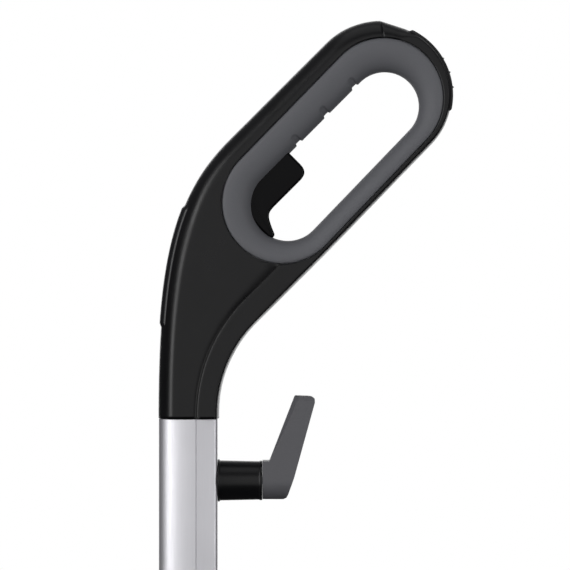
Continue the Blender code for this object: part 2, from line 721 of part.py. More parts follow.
def wall_rest(handle):
    """Rubber pad on the loop's far end, ribbed so that it grips when the sweeper leans on a wall."""
    outer = leaning_arc(END_ARC, END_RADIUS, 59, -21, 14)
    rings = []
    for point, normal in zip(outer, normals_of(outer)):
        ring = []
        for x, height in ((-9.5, 0.0), (-9.0, 0.7), (0, 0.95), (9.0, 0.7), (9.5, 0.0), (5, 0.25),
                          (0, 0.3), (-5, 0.25)):
            ring.append((x * MM, point[0] + normal[0] * height * MM, point[1] + normal[1] * height * MM))
        rings.append(ring)
    pad = loft("wall_rest_pad", rings, RUBBER, parent=handle)
    for i in range(3):
        angle = 14.5 + 12 * i
        y, z = leaning_arc(END_ARC, END_RADIUS + 0.8 * MM, angle, angle, 2)[0]
        join(pad, rod(f"pad_rib_{i}", 0.7 * MM, 15 * MM, None, at=(0, y, z), parent=handle, sides=8))


def spigot(handle):
    """Hollow plug that joins the handle to the upper tube."""
    rings = [pole_ring(z * MM, TUBE_WALL + GAP, scale) for z, scale in ((-45, 1.0), (-0.5, 1.0))]
    rings += [pole_ring(z * MM, TUBE_WALL + GAP, scale) for z, scale in ((0.5, 0.8), (34, 0.8))]
    return skin("handle_spigot", rings, BLACK, 2 * MM, closed_ring=True, parent=handle)


def recessed_screw(name, shell, other, at, tilt, depth, length, handle):
    """Screw from the rear, down a cup in one shell, into a boss or wall of the other piece.

    Local +Z runs into the handle from the shell's outer face.
    """
    seat, turn = empty(f"{name}_seat", (0, *at), handle), (0, 0, 0)
    seat.rotation_euler = (tilt, 0, 0)

    def plug(label, radius, low, high):
        return rod(f"{name}_{label}", radius, high - low, None, at=(0, 0, (low + high) / 2), turn=turn,
                   parent=seat, sides=16)

    join(shell, plug("cup", 4.8 * MM, 1 * MM, depth + 2 * MM))
    cut(shell, plug("recess", 3.4 * MM, -5 * MM, depth), plug("hole", 1.7 * MM, 0, depth + 6 * MM))
    cut(other, plug("thread", 1.5 * MM, depth, length + 2 * MM))
    turned(name, [(0, length), (1.2 * MM, length - 1 * MM), (1.2 * MM, depth - GAP), (3.0 * MM, depth - GAP),
           (3.0 * MM, depth - 1.8 * MM), (0, depth - 2.2 * MM)], STEEL, parent=seat, steps=14)


def handle_parts(handle):
    front, rear = handle_shells(handle)
    grip_ring(handle)
    trigger_parts(handle)
    indicator_panel(handle)
    wall_rest(handle)
    plug = spigot(handle)
    grip_seat = empty("boss_seat", (0, *leaning(82 * MM, -11.3 * MM)), handle)
    grip_seat.rotation_euler = (math.pi / 4, 0, 0)
    join(front, rod("front_boss", 4.2 * MM, 66 * MM, None, at=(0, 0, 42 * MM), turn=(0, 0, 0),
                    parent=grip_seat, sides=16))
    recessed_screw("handle_screw", rear, front, leaning(82 * MM, -11.3 * MM), math.pi / 4, 6 * MM,
                   24 * MM, handle)
    recessed_screw("spigot_screw", rear, plug, (20.5 * MM, 20 * MM), math.pi / 2, 4.4 * MM, 13 * MM,
                   handle)


# ---------------------------------------------------------------- floor head


def head_profile():
    """Side outline of the cover in (y, z), from its rear rim over to its front rim."""
    front = HEAD_FRONT + 4 * MM
    nose = [(front, 30 * MM), (front, 54 * MM), (-112 * MM, 64 * MM), (-84 * MM, 64 * MM)]
    back = [(-84 * MM, 64 * MM), (-60 * MM, 64 * MM), (-40 * MM, 54 * MM), (0, 50 * MM)]
    tail = [(50 * MM, 45 * MM), (62 * MM, 44 * MM), (HEAD_REAR, 40 * MM), (HEAD_REAR, 30 * MM)]
    over = bezier(nose, 9) + bezier(back, 8)[1:] + bezier(tail, 6)
    return [(front, FLOOR_GAP)] + over + [(HEAD_REAR, FLOOR_GAP)]


def head_plan(inset=0.0, rear=None):
    """The head seen from above: a rectangle with rounded corners, moved inwards by an inset."""
    x, front = HEAD_HALF_WIDTH, HEAD_FRONT + 4 * MM
    back = HEAD_REAR if rear is None else rear
    nose, tail = 22 * MM - inset, 14 * MM - inset
    x, front, back = x - inset, front + inset, back - inset
    plan = arc((x - nose, front + nose), nose, -90, 0, 8)
    plan += arc((x - tail, back - tail), tail, 0, 90, 6)
    plan += arc((tail - x, back - tail), tail, 90, 180, 6)
    plan += arc((nose - x, front + nose), nose, 180, 270, 8)
    return plan


def upright_prism(name, outline, low, high, material, **place):
    """An outline in X, Y, extruded between two heights."""
    return prism(name, outline, high - low, material, at=(0, 0, (low + high) / 2), turn=(0, 0, 0), **place)


def box(name, x, y, z, material, **place):
    """A block between pairs of X, Y and Z, given in millimetres."""
    size = [(b - a) * MM for a, b in (x, y, z)]
    centre = [(a + b) / 2 * MM for a, b in (x, y, z)]
    return block(name, size, material, at=centre, **place)


def top_cover():
    """Moulded cover: the side outline within the plan outline, hollow and open below."""
    outline = head_profile()
    cover = prism("top_cover", outline, 2 * HEAD_HALF_WIDTH, BLACK)
    boolean(cover, "INTERSECT", upright_prism("cover_plan", head_plan(), 0, 90 * MM, None))
    round_edges(cover, 3 * MM, segments=2, angle=50)
    inner = offset_ring(outline[::-1], 2.4 * MM)
    inner[0] = (inner[1][0], 5 * MM)
    inner[-1] = (inner[-2][0], 5 * MM)
    hollow = prism("cover_hollow", inner, 2 * HEAD_HALF_WIDTH, None)
    inner_plan = upright_prism("cover_hollow_plan", head_plan(2.4 * MM), 0, 90 * MM, None)
    boolean(hollow, "INTERSECT", inner_plan)
    cut(cover, hollow)
    posts = []
    for i, (x, y) in enumerate(COVER_SCREWS):
        foot, top = 13.4 * MM, POST_TOPS[i]
        posts.append(rod(f"cover_post_{i}", 4 * MM, top - foot, None, at=(x, y, (foot + top) / 2),
                         turn=(0, 0, 0), sides=14))
    join(cover, *posts)
    cut(cover, box("neck_slot", (-26, 26), (-42, -3), (30, 70), None),
        box("bin_mouth", (-96.4, 96.4), (50, 80), (9, 41.4), None),
        *[rod(f"post_bore_{i}", 1.5 * MM, 30 * MM, None, at=(x, y, 20 * MM), turn=(0, 0, 0), sides=12)
          for i, (x, y) in enumerate(COVER_SCREWS)])


def chassis():
    """Floor plate that carries the brush, the motor, the wheels and the pole's pivot."""
    plate = upright_prism("chassis", head_plan(2.7 * MM), 10 * MM, 13 * MM, BLACK)
    added = []
    for side in (-1, 1):
        ear = arc((POLE_Y, PIVOT_Z), 10 * MM, 0, 180, 11) + [(-40 * MM, 11 * MM), (-8 * MM, 11 * MM)]
        added.append(prism(f"ear_{side}", ear, 6 * MM, None, at=(side * 20 * MM, 0, 0)))
        for x in (99.6, 124.6):
            added.append(box(f"wheel_bracket_{side}_{x}", sorted((side * (x - 1.6), side * (x + 1.6))),
                             (36, 52), (11, 26), None))
        for x in (118.1, 130.9):
            added.append(box(f"roller_bracket_{side}_{x}", sorted((side * (x - 1.1), side * (x + 1.1))),
                             (-108, -100), (3.5, 11), None))
        added.append(box(f"bearing_seat_{side}", sorted((side * 118.4, side * 123.6)), (-96, -76),
                         (11, 20), None))
    added.append(box("brush_wall", (-117, 117), (-55.5, -53), (11, 30), None))
    for x in (-106, -62):
        added.append(box(f"motor_cradle_{x}", (x - 2, x + 2), (-36, 0), (11, 24), None))
    join(plate, *added)
    holes = [box("brush_opening", (-117, 117), (-115, -57), (5, 15), None),
             rod("motor_clearance", 17.3 * MM, 80 * MM, None, at=(-85 * MM, *MOTOR), sides=28),
             rod("ear_bore", 4 * MM + RUN, 60 * MM, None, at=(0, POLE_Y, PIVOT_Z), sides=24)]
    for side in (-1, 1):
        holes.append(box(f"wheel_opening_{side}", sorted((side * 101.3, side * 122.8)), (22, 66), (5, 15),
                         None))
        holes.append(box(f"roller_opening_{side}", sorted((side * 119.4, side * 129.6)), (-112.4, -95.6),
                         (9, 15), None))
        holes.append(rod(f"axle_bore_{side}", 2.5 * MM + RUN, 30 * MM, None,
                         at=(side * 112 * MM, *WHEEL), sides=16))
        holes.append(rod(f"roller_bore_{side}", 1.2 * MM + RUN, 16 * MM, None,
                         at=(side * 124.5 * MM, *ROLLER), sides=12))
    for i, (x, y) in enumerate(COVER_SCREWS):
        holes.append(rod(f"screw_hole_{i}", 1.8 * MM, 10 * MM, None, at=(x, y, 12 * MM), turn=(0, 0, 0),
                         sides=12))
        holes.append(rod(f"screw_seat_{i}", 3.6 * MM, 2 * SCREW_SINK, None, at=(x, y, FLOOR_GAP),
                         turn=(0, 0, 0), sides=16))
    cut(plate, *holes)


def cover_screws():
    """Screws that hold the cover's posts to the floor plate."""
    seat = SCREW_SINK - GAP
    for i, (x, y) in enumerate(COVER_SCREWS):
        turned(f"cover_screw_{i + 1}", [(0, 16 * MM), (1.3 * MM, 15 * MM), (1.3 * MM, seat), (3.2 * MM, seat),
               (3.2 * MM, 0.2 * MM), (0, 0.2 * MM)], STEEL, at=(x, y, FLOOR_GAP), steps=12)


def bumper():
    """Soft strip round the nose and the front half of the sides."""
    band = upright_prism("front_bumper", head_plan(-4 * MM), 17 * MM, 27 * MM, GREY)
    round_edges(band, 1.5 * MM)
    cut(band, upright_prism("bumper_inside", head_plan(-GAP), 0, 60 * MM, None),
        box("bumper_end", (-150, 150), (-50, 120), (0, 60), None))


def brush_drive():
    """Brush roll with helical bristle rows, its bearings, and the motor with the two pulleys."""
    spin = empty("brush_axis", (0, *BRUSH))
    rows = []
    count = 23
    for k in range(count):
        x = -115 * MM + 230 * MM * k / (count - 1)
        twist = math.radians(150) * abs(x) / (115 * MM)
        ring = []
        for fin in range(4):
            for angle, radius in ((-14, 14), (-5.5, BRUSH_TIP / MM), (5.5, BRUSH_TIP / MM), (14, 14),
                                  (33, 14), (57, 14)):
                a = math.radians(angle + 90 * fin) + twist
                ring.append((x, radius * MM * math.cos(a), radius * MM * math.sin(a)))
        rows.append(ring)
    roll = loft("brush_roll", rows, BRISTLE, parent=spin, smooth_angle=30)
    join(roll, rod("brush_axle", 3.5 * MM, 256.4 * MM, None, at=(-4.7 * MM, 0, 0), parent=spin, sides=16))
    for side, name in ((-1, "left"), (1, "right")):
        bearing = box(f"brush_bearing_{name}", sorted((side * 118.7, side * 123.3)), (-95, -77),
                      (20.3, 41), BLACK)
        cut(bearing, rod(f"bearing_bore_{name}", 3.5 * MM + RUN, 20 * MM, None,
                         at=(side * 121 * MM, *BRUSH), sides=20))
    half = 3.2 * MM
    turned("brush_pulley", [(BRUSH_PULLEY, half), (BRUSH_PULLEY, -half), (3.5 * MM + RUN, -half),
           (3.5 * MM + RUN, half)], BLACK, at=(BELT_X, 0, 0), turn=TO_X, parent=spin, steps=28)
    turned("motor_body", [(0, 35 * MM), (8 * MM, 35 * MM), (16 * MM, 33 * MM), (17 * MM, 31 * MM),
           (17 * MM, -31 * MM), (15 * MM, -35 * MM), (2.5 * MM + RUN, -35 * MM), (2.5 * MM + RUN, 22 * MM),
           (0, 22 * MM)], STEEL, at=(-86 * MM, *MOTOR), turn=TO_X, steps=28)
    rotor = empty("rotor_axis", (0, *MOTOR))
    turned("motor_shaft", [(0, -66 * MM), (2.5 * MM, -66 * MM), (2.5 * MM, BELT_X + half),
           (MOTOR_PULLEY, BELT_X + half), (MOTOR_PULLEY, BELT_X - half), (0, BELT_X - half)], STEEL,
           turn=TO_X, parent=rotor, steps=20)


def drive_belt():
    """Belt round both pulleys, just clear of them."""
    distance = MOTOR[0] - BRUSH[0]
    lean = math.degrees(math.asin((BRUSH_PULLEY - MOTOR_PULLEY) / distance))
    outer, inner = (
        arc((0, 0), MOTOR_PULLEY + clearance, lean - 90, 90 - lean, 10)
        + arc((-distance, 0), BRUSH_PULLEY + clearance, 90 - lean, 270 + lean, 22)
        for clearance in (1.7 * MM, GAP)
    )
    belt = prism("drive_belt", outer, 5 * MM, RUBBER, at=(BELT_X, *MOTOR))
    cut(belt, prism("belt_inside", inner, 12 * MM, None, at=(BELT_X, *MOTOR)))


def dust_bin():
    """Open-topped drawer that slides out to the rear."""
    slide = empty("dust_bin_slide", (0, HEAD_REAR, 26 * MM))
    made = box("dust_bin", (-96, 96), (4 - 70, -0.3), (13.3 - 26, 41 - 26), SMOKED, parent=slide,
               bevel=1.2 * MM)
    cut(made, box("bin_space", (-94, 94), (6 - 70, -2.5), (15.3 - 26, 60 - 26), None, parent=slide),
        box("bin_inlet", (-80, 80), (-75, -60), (28 - 26, 60 - 26), None, parent=slide),
        rod("bin_grip", 16 * MM, 2.4 * MM, None, at=(0, 0.4 * MM, 4 * MM), turn=TO_REAR, parent=slide,
            sides=28))


def wheels():
    """Two rear wheels with their axles, and two small front rollers with their pins."""
    for side, name in ((-1, "left"), (1, "right")):
        spin = empty(f"rear_wheel_{name}_axis", (side * 112 * MM, *WHEEL))
        turned(f"wheel_hub_{name}", [(2.5 * MM + RUN, 9 * MM), (14 * MM, 9 * MM), (15.5 * MM, 7.4 * MM),
               (15.5 * MM, -7.4 * MM), (14 * MM, -9 * MM), (2.5 * MM + RUN, -9 * MM)], GREY, turn=TO_X,
               parent=spin, steps=28)
        turned(f"wheel_tyre_{name}", [(15.8 * MM, 8 * MM), (17.6 * MM, 8 * MM), (19 * MM, 6.4 * MM),
               (19 * MM, -6.4 * MM), (17.6 * MM, -8 * MM), (15.8 * MM, -8 * MM)], RUBBER, turn=TO_X,
               parent=spin, steps=28)
        rod(f"wheel_axle_{name}", 2.5 * MM, 28 * MM, STEEL, at=(side * 112 * MM, *WHEEL), sides=16)
        roll = empty(f"front_roller_{name}_axis", (side * 124.5 * MM, *ROLLER))
        turned(f"front_roller_{name}", [(1.2 * MM + RUN, 4.7 * MM), (6 * MM, 4.7 * MM), (7 * MM, 3.6 * MM),
               (7 * MM, -3.6 * MM), (6 * MM, -4.7 * MM), (1.2 * MM + RUN, -4.7 * MM)], GREY, turn=TO_X,
               parent=roll, steps=20)
        rod(f"roller_pin_{name}", 1.2 * MM, 14.6 * MM, STEEL, at=(side * 124.5 * MM, *ROLLER), sides=12)


def floor_head():
    chassis()
    top_cover()
    cover_screws()
    bumper()
    brush_drive()
    drive_belt()
    dust_bin()
    wheels()


def build():
    trunnion = empty("trunnion_recline", (0, POLE_Y, PIVOT_Z))
    pole = empty("pole", (0, POLE_Y, 0))
    handle = empty("handle", (0, POLE_Y, NECK_Z))
    floor_head()
    neck_and_trunnion(pole, trunnion)
    tubes(pole)
    collar(pole)
    release_button(pole)
    cord_hooks(pole)
    cord_gland(pole)
    handle_parts(handle)


build()
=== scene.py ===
"""Looks for the upright carpet sweeper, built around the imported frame. Metres, +Z up, front towards -Y."""

import json
import math
import random

import bmesh
import bpy
from mathutils import Matrix, Vector


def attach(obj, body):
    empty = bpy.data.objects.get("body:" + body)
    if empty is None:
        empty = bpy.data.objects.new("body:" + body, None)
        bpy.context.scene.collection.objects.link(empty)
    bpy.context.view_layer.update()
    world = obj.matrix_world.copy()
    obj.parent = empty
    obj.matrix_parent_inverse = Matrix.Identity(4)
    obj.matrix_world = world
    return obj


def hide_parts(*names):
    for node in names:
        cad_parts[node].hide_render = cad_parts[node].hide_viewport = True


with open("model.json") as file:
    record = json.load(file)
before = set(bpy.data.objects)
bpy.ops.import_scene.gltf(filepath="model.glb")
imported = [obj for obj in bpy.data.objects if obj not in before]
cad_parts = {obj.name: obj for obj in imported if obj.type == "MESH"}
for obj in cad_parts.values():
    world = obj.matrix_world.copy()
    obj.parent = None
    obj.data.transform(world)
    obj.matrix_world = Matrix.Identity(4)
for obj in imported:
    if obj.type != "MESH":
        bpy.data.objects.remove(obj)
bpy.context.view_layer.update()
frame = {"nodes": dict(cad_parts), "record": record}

MM = 0.001
ROOT2 = math.sqrt(2)
POLE_Y = -24 * MM
NECK_Z = 912 * MM
HOOK_Y, HOOK_Z = POLE_Y + 17.8 * MM, NECK_Z - 37.4 * MM
COLLAR_Z = 505 * MM
COLLAR_REAR_Y = POLE_Y + 20.9 * MM
BUTTON_Z = COLLAR_Z + 17 * MM

# The loop handle's drawing: u runs along its lean and w across it, in millimetres from the neck's foot.
# The hole and the ring round it are two arcs each, given as u, w and radius, joined by straight lines.
HOLE = {"low": (132.4, -47.9, 21.2), "high": (215.5, -48.8, 20.5)}
RING = {"low": (131.2, -51.1, 36.1), "high": (218.1, -52.7, 35.7)}
FRONT_LINE = -100.5
FRONT_ARC, FRONT_RADIUS = (217.1, -53.7), 46.8
END_ARC, END_RADIUS = (218.5, -55.2), 42.4
TOP_SEAM = (250.0, -86.8)
SEAM_ANGLE = 137.2
NECK_HALF_WIDTH, LOOP_HALF_WIDTH = 15.4, 14.2
EDGE_GAP = 0.45  # between the shells and the grip ring
SEAM_GAP = 0.9  # between the two shells
SHELL_WALL = 1.4
SEAM_TONGUE_REACH = 1.6  # to each side of the seam
NOTCHES = (163.7, 187.3, 211.0)
NOTCH_RADIUS = 2.4
PAD_START, PAD_END = 59, -21.5  # of the wall pad, in degrees round the loop's end
PAD_RIBS = (14.5, 26.5, 38.5)


# ---------------------------------------------------------------- drawing helpers (millimetres)


def arc(centre, radius, start, end, count):
    angles = [math.radians(start + (end - start) * i / (count - 1)) for i in range(count)]
    return [(centre[0] + radius * math.cos(a), centre[1] + radius * math.sin(a)) for a in angles]


def bezier(points, count):
    made = []
    for i in range(count):
        t = i / (count - 1)
        weights = ((1 - t) ** 3, 3 * t * (1 - t) ** 2, 3 * t * t * (1 - t), t**3)
        made.append(tuple(sum(w * p[axis] for w, p in zip(weights, points)) for axis in (0, 1)))
    return made


def resample(points, count):
    """The same path with evenly spaced points."""
    lengths = [0.0]
    for a, b in zip(points, points[1:]):
        lengths.append(lengths[-1] + math.dist(a, b))
    made, j = [], 1
    for i in range(count):
        target = lengths[-1] * i / (count - 1)
        while lengths[j] < target - 1e-9 and j < len(points) - 1:
            j += 1
        share = (target - lengths[j - 1]) / max(lengths[j] - lengths[j - 1], 1e-9)
        a, b = points[j - 1], points[j]
        made.append((a[0] + (b[0] - a[0]) * share, a[1] + (b[1] - a[1]) * share))
    return made


def chain(runs, counts):
    """Paths that follow on from one another, as one path with a number of points on each."""
    made = []
    for run, count in zip(runs, counts):
        points = resample(run, count)
        made += points if not made else points[1:]
    return made


def smoothstep(x):
    x = min(max(x, 0.0), 1.0)
    return x * x * (3 - 2 * x)


def normals_of(points):
    """Unit normals, to the right of the way the path runs."""
    made = []
    for i in range(len(points)):
        a, b = points[max(i - 1, 0)], points[min(i + 1, len(points) - 1)]
        length = math.dist(a, b)
        made.append(((b[1] - a[1]) / length, -(b[0] - a[0]) / length))
    return made


def leaning(u, w):
    """The (y, z) of a place along and across the loop's lean of 45 degrees."""
    return ((u + w) / ROOT2, (u - w) / ROOT2)


def leaning_arc(centre, radius, start, end, count):
    return [leaning(*point) for point in arc(centre, radius, start, end, count)]


def on_handle(x, y, z):
    """A point of the handle's drawing, in the part's frame."""
    return Vector((x * MM, y * MM + POLE_Y, z * MM + NECK_Z))


def half_width(y, z):
    """Half the handle's width: it narrows a little towards the loop's end."""
    share = min(max((y + z) / ROOT2 / 260, 0), 1)
    return NECK_HALF_WIDTH + (LOOP_HALF_WIDTH - NECK_HALF_WIDTH) * share


# ---------------------------------------------------------------- mesh helpers


def as_object(shape, name="working"):
    mesh = bpy.data.meshes.new(name)
    shape.to_mesh(mesh)
    shape.free()
    made = bpy.data.objects.new(name, mesh)
    bpy.context.scene.collection.objects.link(made)
    return made


def facing_out(shape):
    bmesh.ops.recalc_face_normals(shape, faces=shape.faces)
    return shape


def piece(name, shape, material, body, replaces=(), sharp=40, recalc=True):
    """A visible piece on its body, with the CAD nodes that it stands in for."""
    made = as_object(facing_out(shape) if recalc else shape, name)
    made.data.shade_smooth()
    made.data.set_sharp_from_angle(angle=math.radians(sharp))
    made.data.materials.append(material)
    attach(made, body)
    if replaces:
        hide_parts(*replaces)
    return made


def grid(rows, wrap_rows=False, wrap_columns=False, caps=False):
    """A bmesh of quads through rows of points."""
    shape = bmesh.new()
    made = [[shape.verts.new(point) for point in row] for row in rows]
    count, wide = len(made), len(made[0])
    for i in range(count if wrap_rows else count - 1):
        low, high = made[i], made[(i + 1) % count]
        for j in range(wide if wrap_columns else wide - 1):
            k = (j + 1) % wide
            shape.faces.new((low[j], low[k], high[k], high[j]))
    if caps:
        shape.faces.new(made[0])
        shape.faces.new(made[-1][::-1])
    return shape


def thicken(obj, thickness):
    wall = obj.modifiers.new("wall", "SOLIDIFY")
    wall.thickness = thickness
    wall.offset = -1
    return wall


def turned_shape(profile, steps, axis="Z", at=(0, 0, 0)):
    """A bmesh turned about an axis, from (radius, along) pairs. A profile off the axis is a closed one."""
    rows = []
    for i in range(steps):
        a = 2 * math.pi * i / steps
        row = []
        for radius, along in profile:
            c, s = radius * math.cos(a) * MM, radius * math.sin(a) * MM
            point = {"X": (along * MM, c, s), "Y": (c, along * MM, s), "Z": (c, s, along * MM)}[axis]
            row.append(Vector(point) + Vector(at))
        rows.append(row)
    shape = grid(rows, wrap_rows=True, wrap_columns=profile[0][0] > 0)
    bmesh.ops.remove_doubles(shape, verts=shape.verts, dist=1e-7)
    return shape


def rounded(profile, radius, segments=5, closed=False):
    """The same profile with its corners turned into arcs of about that radius."""
    made = []
    count = len(profile)
    for i, point in enumerate(profile):
        if not closed and i in (0, count - 1):
            made.append(point)
            continue
        a, b = profile[i - 1], profile[(i + 1) % count]
        da, db = math.dist(a, point), math.dist(point, b)
        reach = min(radius, da * 0.45, db * 0.45)
        start = (point[0] + (a[0] - point[0]) * reach / da, point[1] + (a[1] - point[1]) * reach / da)
        end = (point[0] + (b[0] - point[0]) * reach / db, point[1] + (b[1] - point[1]) * reach / db)
        for k in range(segments + 1):
            t = k / segments
            made.append(tuple(
                (1 - t) ** 2 * start[axis] + 2 * t * (1 - t) * point[axis] + t * t * end[axis]
                for axis in (0, 1)
            ))
    return made


def inset_outline(points, distance):
    """A closed counterclockwise outline, moved inwards."""
    made, count = [], len(points)
    for i, point in enumerate(points):
        a, b = points[i - 1], points[(i + 1) % count]
        step = distance / max(math.dist(a, b), 1e-9)
        made.append((point[0] - step * (b[1] - a[1]), point[1] + step * (b[0] - a[0])))
    return made


def area_of(points):
    """Area of a closed outline, positive if it runs counterclockwise."""
    return sum(a[0] * b[1] - b[0] * a[1] for a, b in zip(points, points[1:] + points[:1])) / 2


def slab_shape(outline, half, radius, place, steps=5, count=160, middle=1):
    """A bmesh of a flat outline across X with its long edges rounded. place(x, a, b) gives the point."""
    if area_of(outline) < 0:
        outline = outline[::-1]
    points = resample(outline + outline[:1], count + 1)[:-1]
    flat = half - radius
    turns = [math.pi / 2 * k / steps for k in range(steps, -1, -1)]
    edge = [(flat + radius * math.sin(a), radius * (1 - math.cos(a))) for a in turns]
    stations = edge + [(flat - 2 * flat * k / (middle + 1), 0.0) for k in range(1, middle + 1)]
    stations += [(-x, inset) for x, inset in reversed(edge)]
    rows = [[place(x, *p) for p in inset_outline(points, inset)] for x, inset in stations]
    return grid(rows, wrap_columns=True, caps=True)


def prism_shape(outline, low, high, place):
    """A bmesh of a flat outline extruded between two heights. place(height, a, b) gives the point."""
    points = outline if area_of(outline) > 0 else outline[::-1]
    rows = [[place(height, *p) for p in points] for height in (low, high)]
    return facing_out(grid(rows, wrap_columns=True, caps=True))


def in_plan(z, x, y):
    return Vector((x, y, z)) * MM


def in_side(x, y, z):
    return Vector((x, y, z)) * MM


def in_front(y, x, z):
    return Vector((x, y, z)) * MM


def box_shape(x, y, z):
    outline = [(x[0], y[0]), (x[1], y[0]), (x[1], y[1]), (x[0], y[1])]
    return prism_shape(outline, z[0], z[1], in_plan)


def rod_shape(radius, low, high, axis, at, steps=48):
    return facing_out(turned_shape([(0, low), (radius, low), (radius, high), (0, high)], steps, axis, at))


def carved(base, *steps, wall=0.0):
    """A bmesh after Boolean steps, each an operation and a bmesh. A wall first makes an open base solid."""
    made = as_object(base)
    if wall:
        thicken(made, wall)
    others = []
    for operation, shape in steps:
        other = as_object(shape)
        others.append(other)
        modifier = made.modifiers.new("step", "BOOLEAN")
        modifier.operation, modifier.solver, modifier.object = operation, "EXACT", other
    bpy.context.view_layer.update()
    graph = bpy.context.evaluated_depsgraph_get()
    mesh = bpy.data.meshes.new_from_object(made.evaluated_get(graph))
    for obj in [made] + others:
        bpy.data.objects.remove(obj, do_unlink=True)
    result = bmesh.new()
    result.from_mesh(mesh)
    bmesh.ops.remove_doubles(result, verts=result.verts, dist=1e-6)
    return result


def soften(obj, width, segments=3, angle=32):
    rounding = obj.modifiers.new("rounding", "BEVEL")
    rounding.width, rounding.segments = width * MM, segments
    rounding.limit_method, rounding.angle_limit = "ANGLE", math.radians(angle)
    return obj


# ---------------------------------------------------------------- materials


def principled(name, colour, roughness, metallic=0.0, specular=0.5, coat=0.0):
    material = bpy.data.materials.new(name)
    material.use_nodes = True
    values = {"Base Color": (*colour, 1), "Roughness": roughness, "Metallic": metallic,
              "Specular IOR Level": specular, "Coat Weight": coat, "Coat Roughness": 0.12}
    for key, value in values.items():
        material.node_tree.nodes["Principled BSDF"].inputs[key].default_value = value
    return material


def node(tree, kind, **values):
    made = tree.nodes.new(kind)
    for key, value in values.items():
        if key in made.inputs:
            made.inputs[key].default_value = value
        else:
            setattr(made, key, value)
    return made


def stretched_noise(tree, scale, stretch=(1, 1, 1), detail=3.0, roughness=0.5):
    """Noise on object coordinates, its cells 1/scale metres across."""
    where = node(tree, "ShaderNodeTexCoord")
    mapping = node(tree, "ShaderNodeMapping", Scale=stretch)
    noise = node(tree, "ShaderNodeTexNoise", Scale=scale, Detail=detail, Roughness=roughness)
    tree.links.new(where.outputs["Object"], mapping.inputs["Vector"])
    tree.links.new(mapping.outputs["Vector"], noise.inputs["Vector"])
    return noise.outputs["Fac"]


def ramp(tree, value, low, high, start=0.3, end=0.7):
    """A value between start and end, brought to between low and high."""
    made = node(tree, "ShaderNodeMapRange",
                **{"From Min": start, "From Max": end, "To Min": low, "To Max": high})
    tree.links.new(value, made.inputs["Value"])
    return made.outputs["Result"]


def tinted(tree, value, dark, light):
    made = node(tree, "ShaderNodeMix", data_type="RGBA")
    made.inputs[6].default_value = (*dark, 1)
    made.inputs[7].default_value = (*light, 1)
    tree.links.new(value, made.inputs[0])
    return made.outputs[2]


def bumped(tree, heights, strength, distance):
    bump = node(tree, "ShaderNodeBump", Strength=strength, Distance=distance)
    tree.links.new(heights, bump.inputs["Height"])
    tree.links.new(bump.outputs["Normal"], tree.nodes["Principled BSDF"].inputs["Normal"])


def moulded(name, colour, roughness, grain=2600, bump=0.25, spread=0.06, vary=0.12, **more):
    """Moulded plastic or rubber: spark-eroded grain, with slow patches in its gloss and shade."""
    material = principled(name, colour, roughness, **more)
    tree = material.node_tree
    shader = tree.nodes["Principled BSDF"]
    slow = stretched_noise(tree, 55, detail=4)
    fine = stretched_noise(tree, grain, detail=2, roughness=0.6)
    tree.links.new(ramp(tree, slow, roughness - spread, roughness + spread), shader.inputs["Roughness"])
    light = tuple(c * (1 + vary) for c in colour)
    dark = tuple(c * (1 - vary) for c in colour)
    tree.links.new(tinted(tree, ramp(tree, fine, 0, 1, 0.35, 0.65), dark, light), shader.inputs["Base Color"])
    bumped(tree, fine, bump, 0.06 * MM)
    return material


def brushed(name, colour, roughness, stretch):
    """Metal with fine lines along its length."""
    material = principled(name, colour, roughness, metallic=1.0)
    tree = material.node_tree
    shader = tree.nodes["Principled BSDF"]
    lines = stretched_noise(tree, 3000, stretch, detail=3)
    slow = stretched_noise(tree, 14, detail=3)
    tree.links.new(ramp(tree, lines, roughness - 0.05, roughness + 0.06), shader.inputs["Roughness"])
    dull = tuple(c * 0.94 for c in colour)
    tree.links.new(tinted(tree, ramp(tree, slow, 0, 1), dull, colour), shader.inputs["Base Color"])
    bumped(tree, lines, 0.05, 0.03 * MM)
    return material


BLACK = moulded("black_moulded", (0.003, 0.003, 0.0035), 0.31, specular=0.31, bump=0.7, spread=0.04)
BLACK_HEAD = moulded("black_cover", (0.0135, 0.0135, 0.0145), 0.36, grain=1600, spread=0.02)
TRIGGER_BLACK = moulded("trigger_black", (0.002, 0.002, 0.0024), 0.26, bump=0.05, spread=0.03, specular=0.1)
GREY = moulded("grey_soft_touch", (0.112, 0.114, 0.124), 0.6, bump=0.3, vary=0.05, specular=0.35)
HOOK_GREY = moulded("grey_moulded", (0.096, 0.096, 0.104), 0.5, bump=0.2, vary=0.05, specular=0.35)
RUBBER = moulded("black_rubber", (0.014, 0.014, 0.015), 0.68, grain=1800, bump=0.3)
PANEL = moulded("indicator_window", (0.006, 0.006, 0.007), 0.3, bump=0.03, spread=0.03, specular=0.35)
SMOKED = moulded("smoked_plastic", (0.022, 0.021, 0.022), 0.22, grain=900, bump=0.04, spread=0.04, coat=0.3)
BRISTLE = moulded("nylon_bristle", (0.05, 0.05, 0.055), 0.5, grain=4000, bump=0.2, vary=0.3)
ALUMINIUM = brushed("anodised_aluminium", (0.74, 0.735, 0.765), 0.54, (1, 1, 0.012))
STEEL = brushed("plain_steel", (0.55, 0.55, 0.56), 0.32, (1, 1, 0.05))
MOTOR_CAN = brushed("motor_can", (0.5, 0.5, 0.49), 0.35, (0.05, 1, 1))


# ---------------------------------------------------------------- handle outlines


def ring_arc(end, start, stop, count):
    u, w, radius = RING[end]
    return leaning_arc((u, w), radius + EDGE_GAP, start, stop, count)


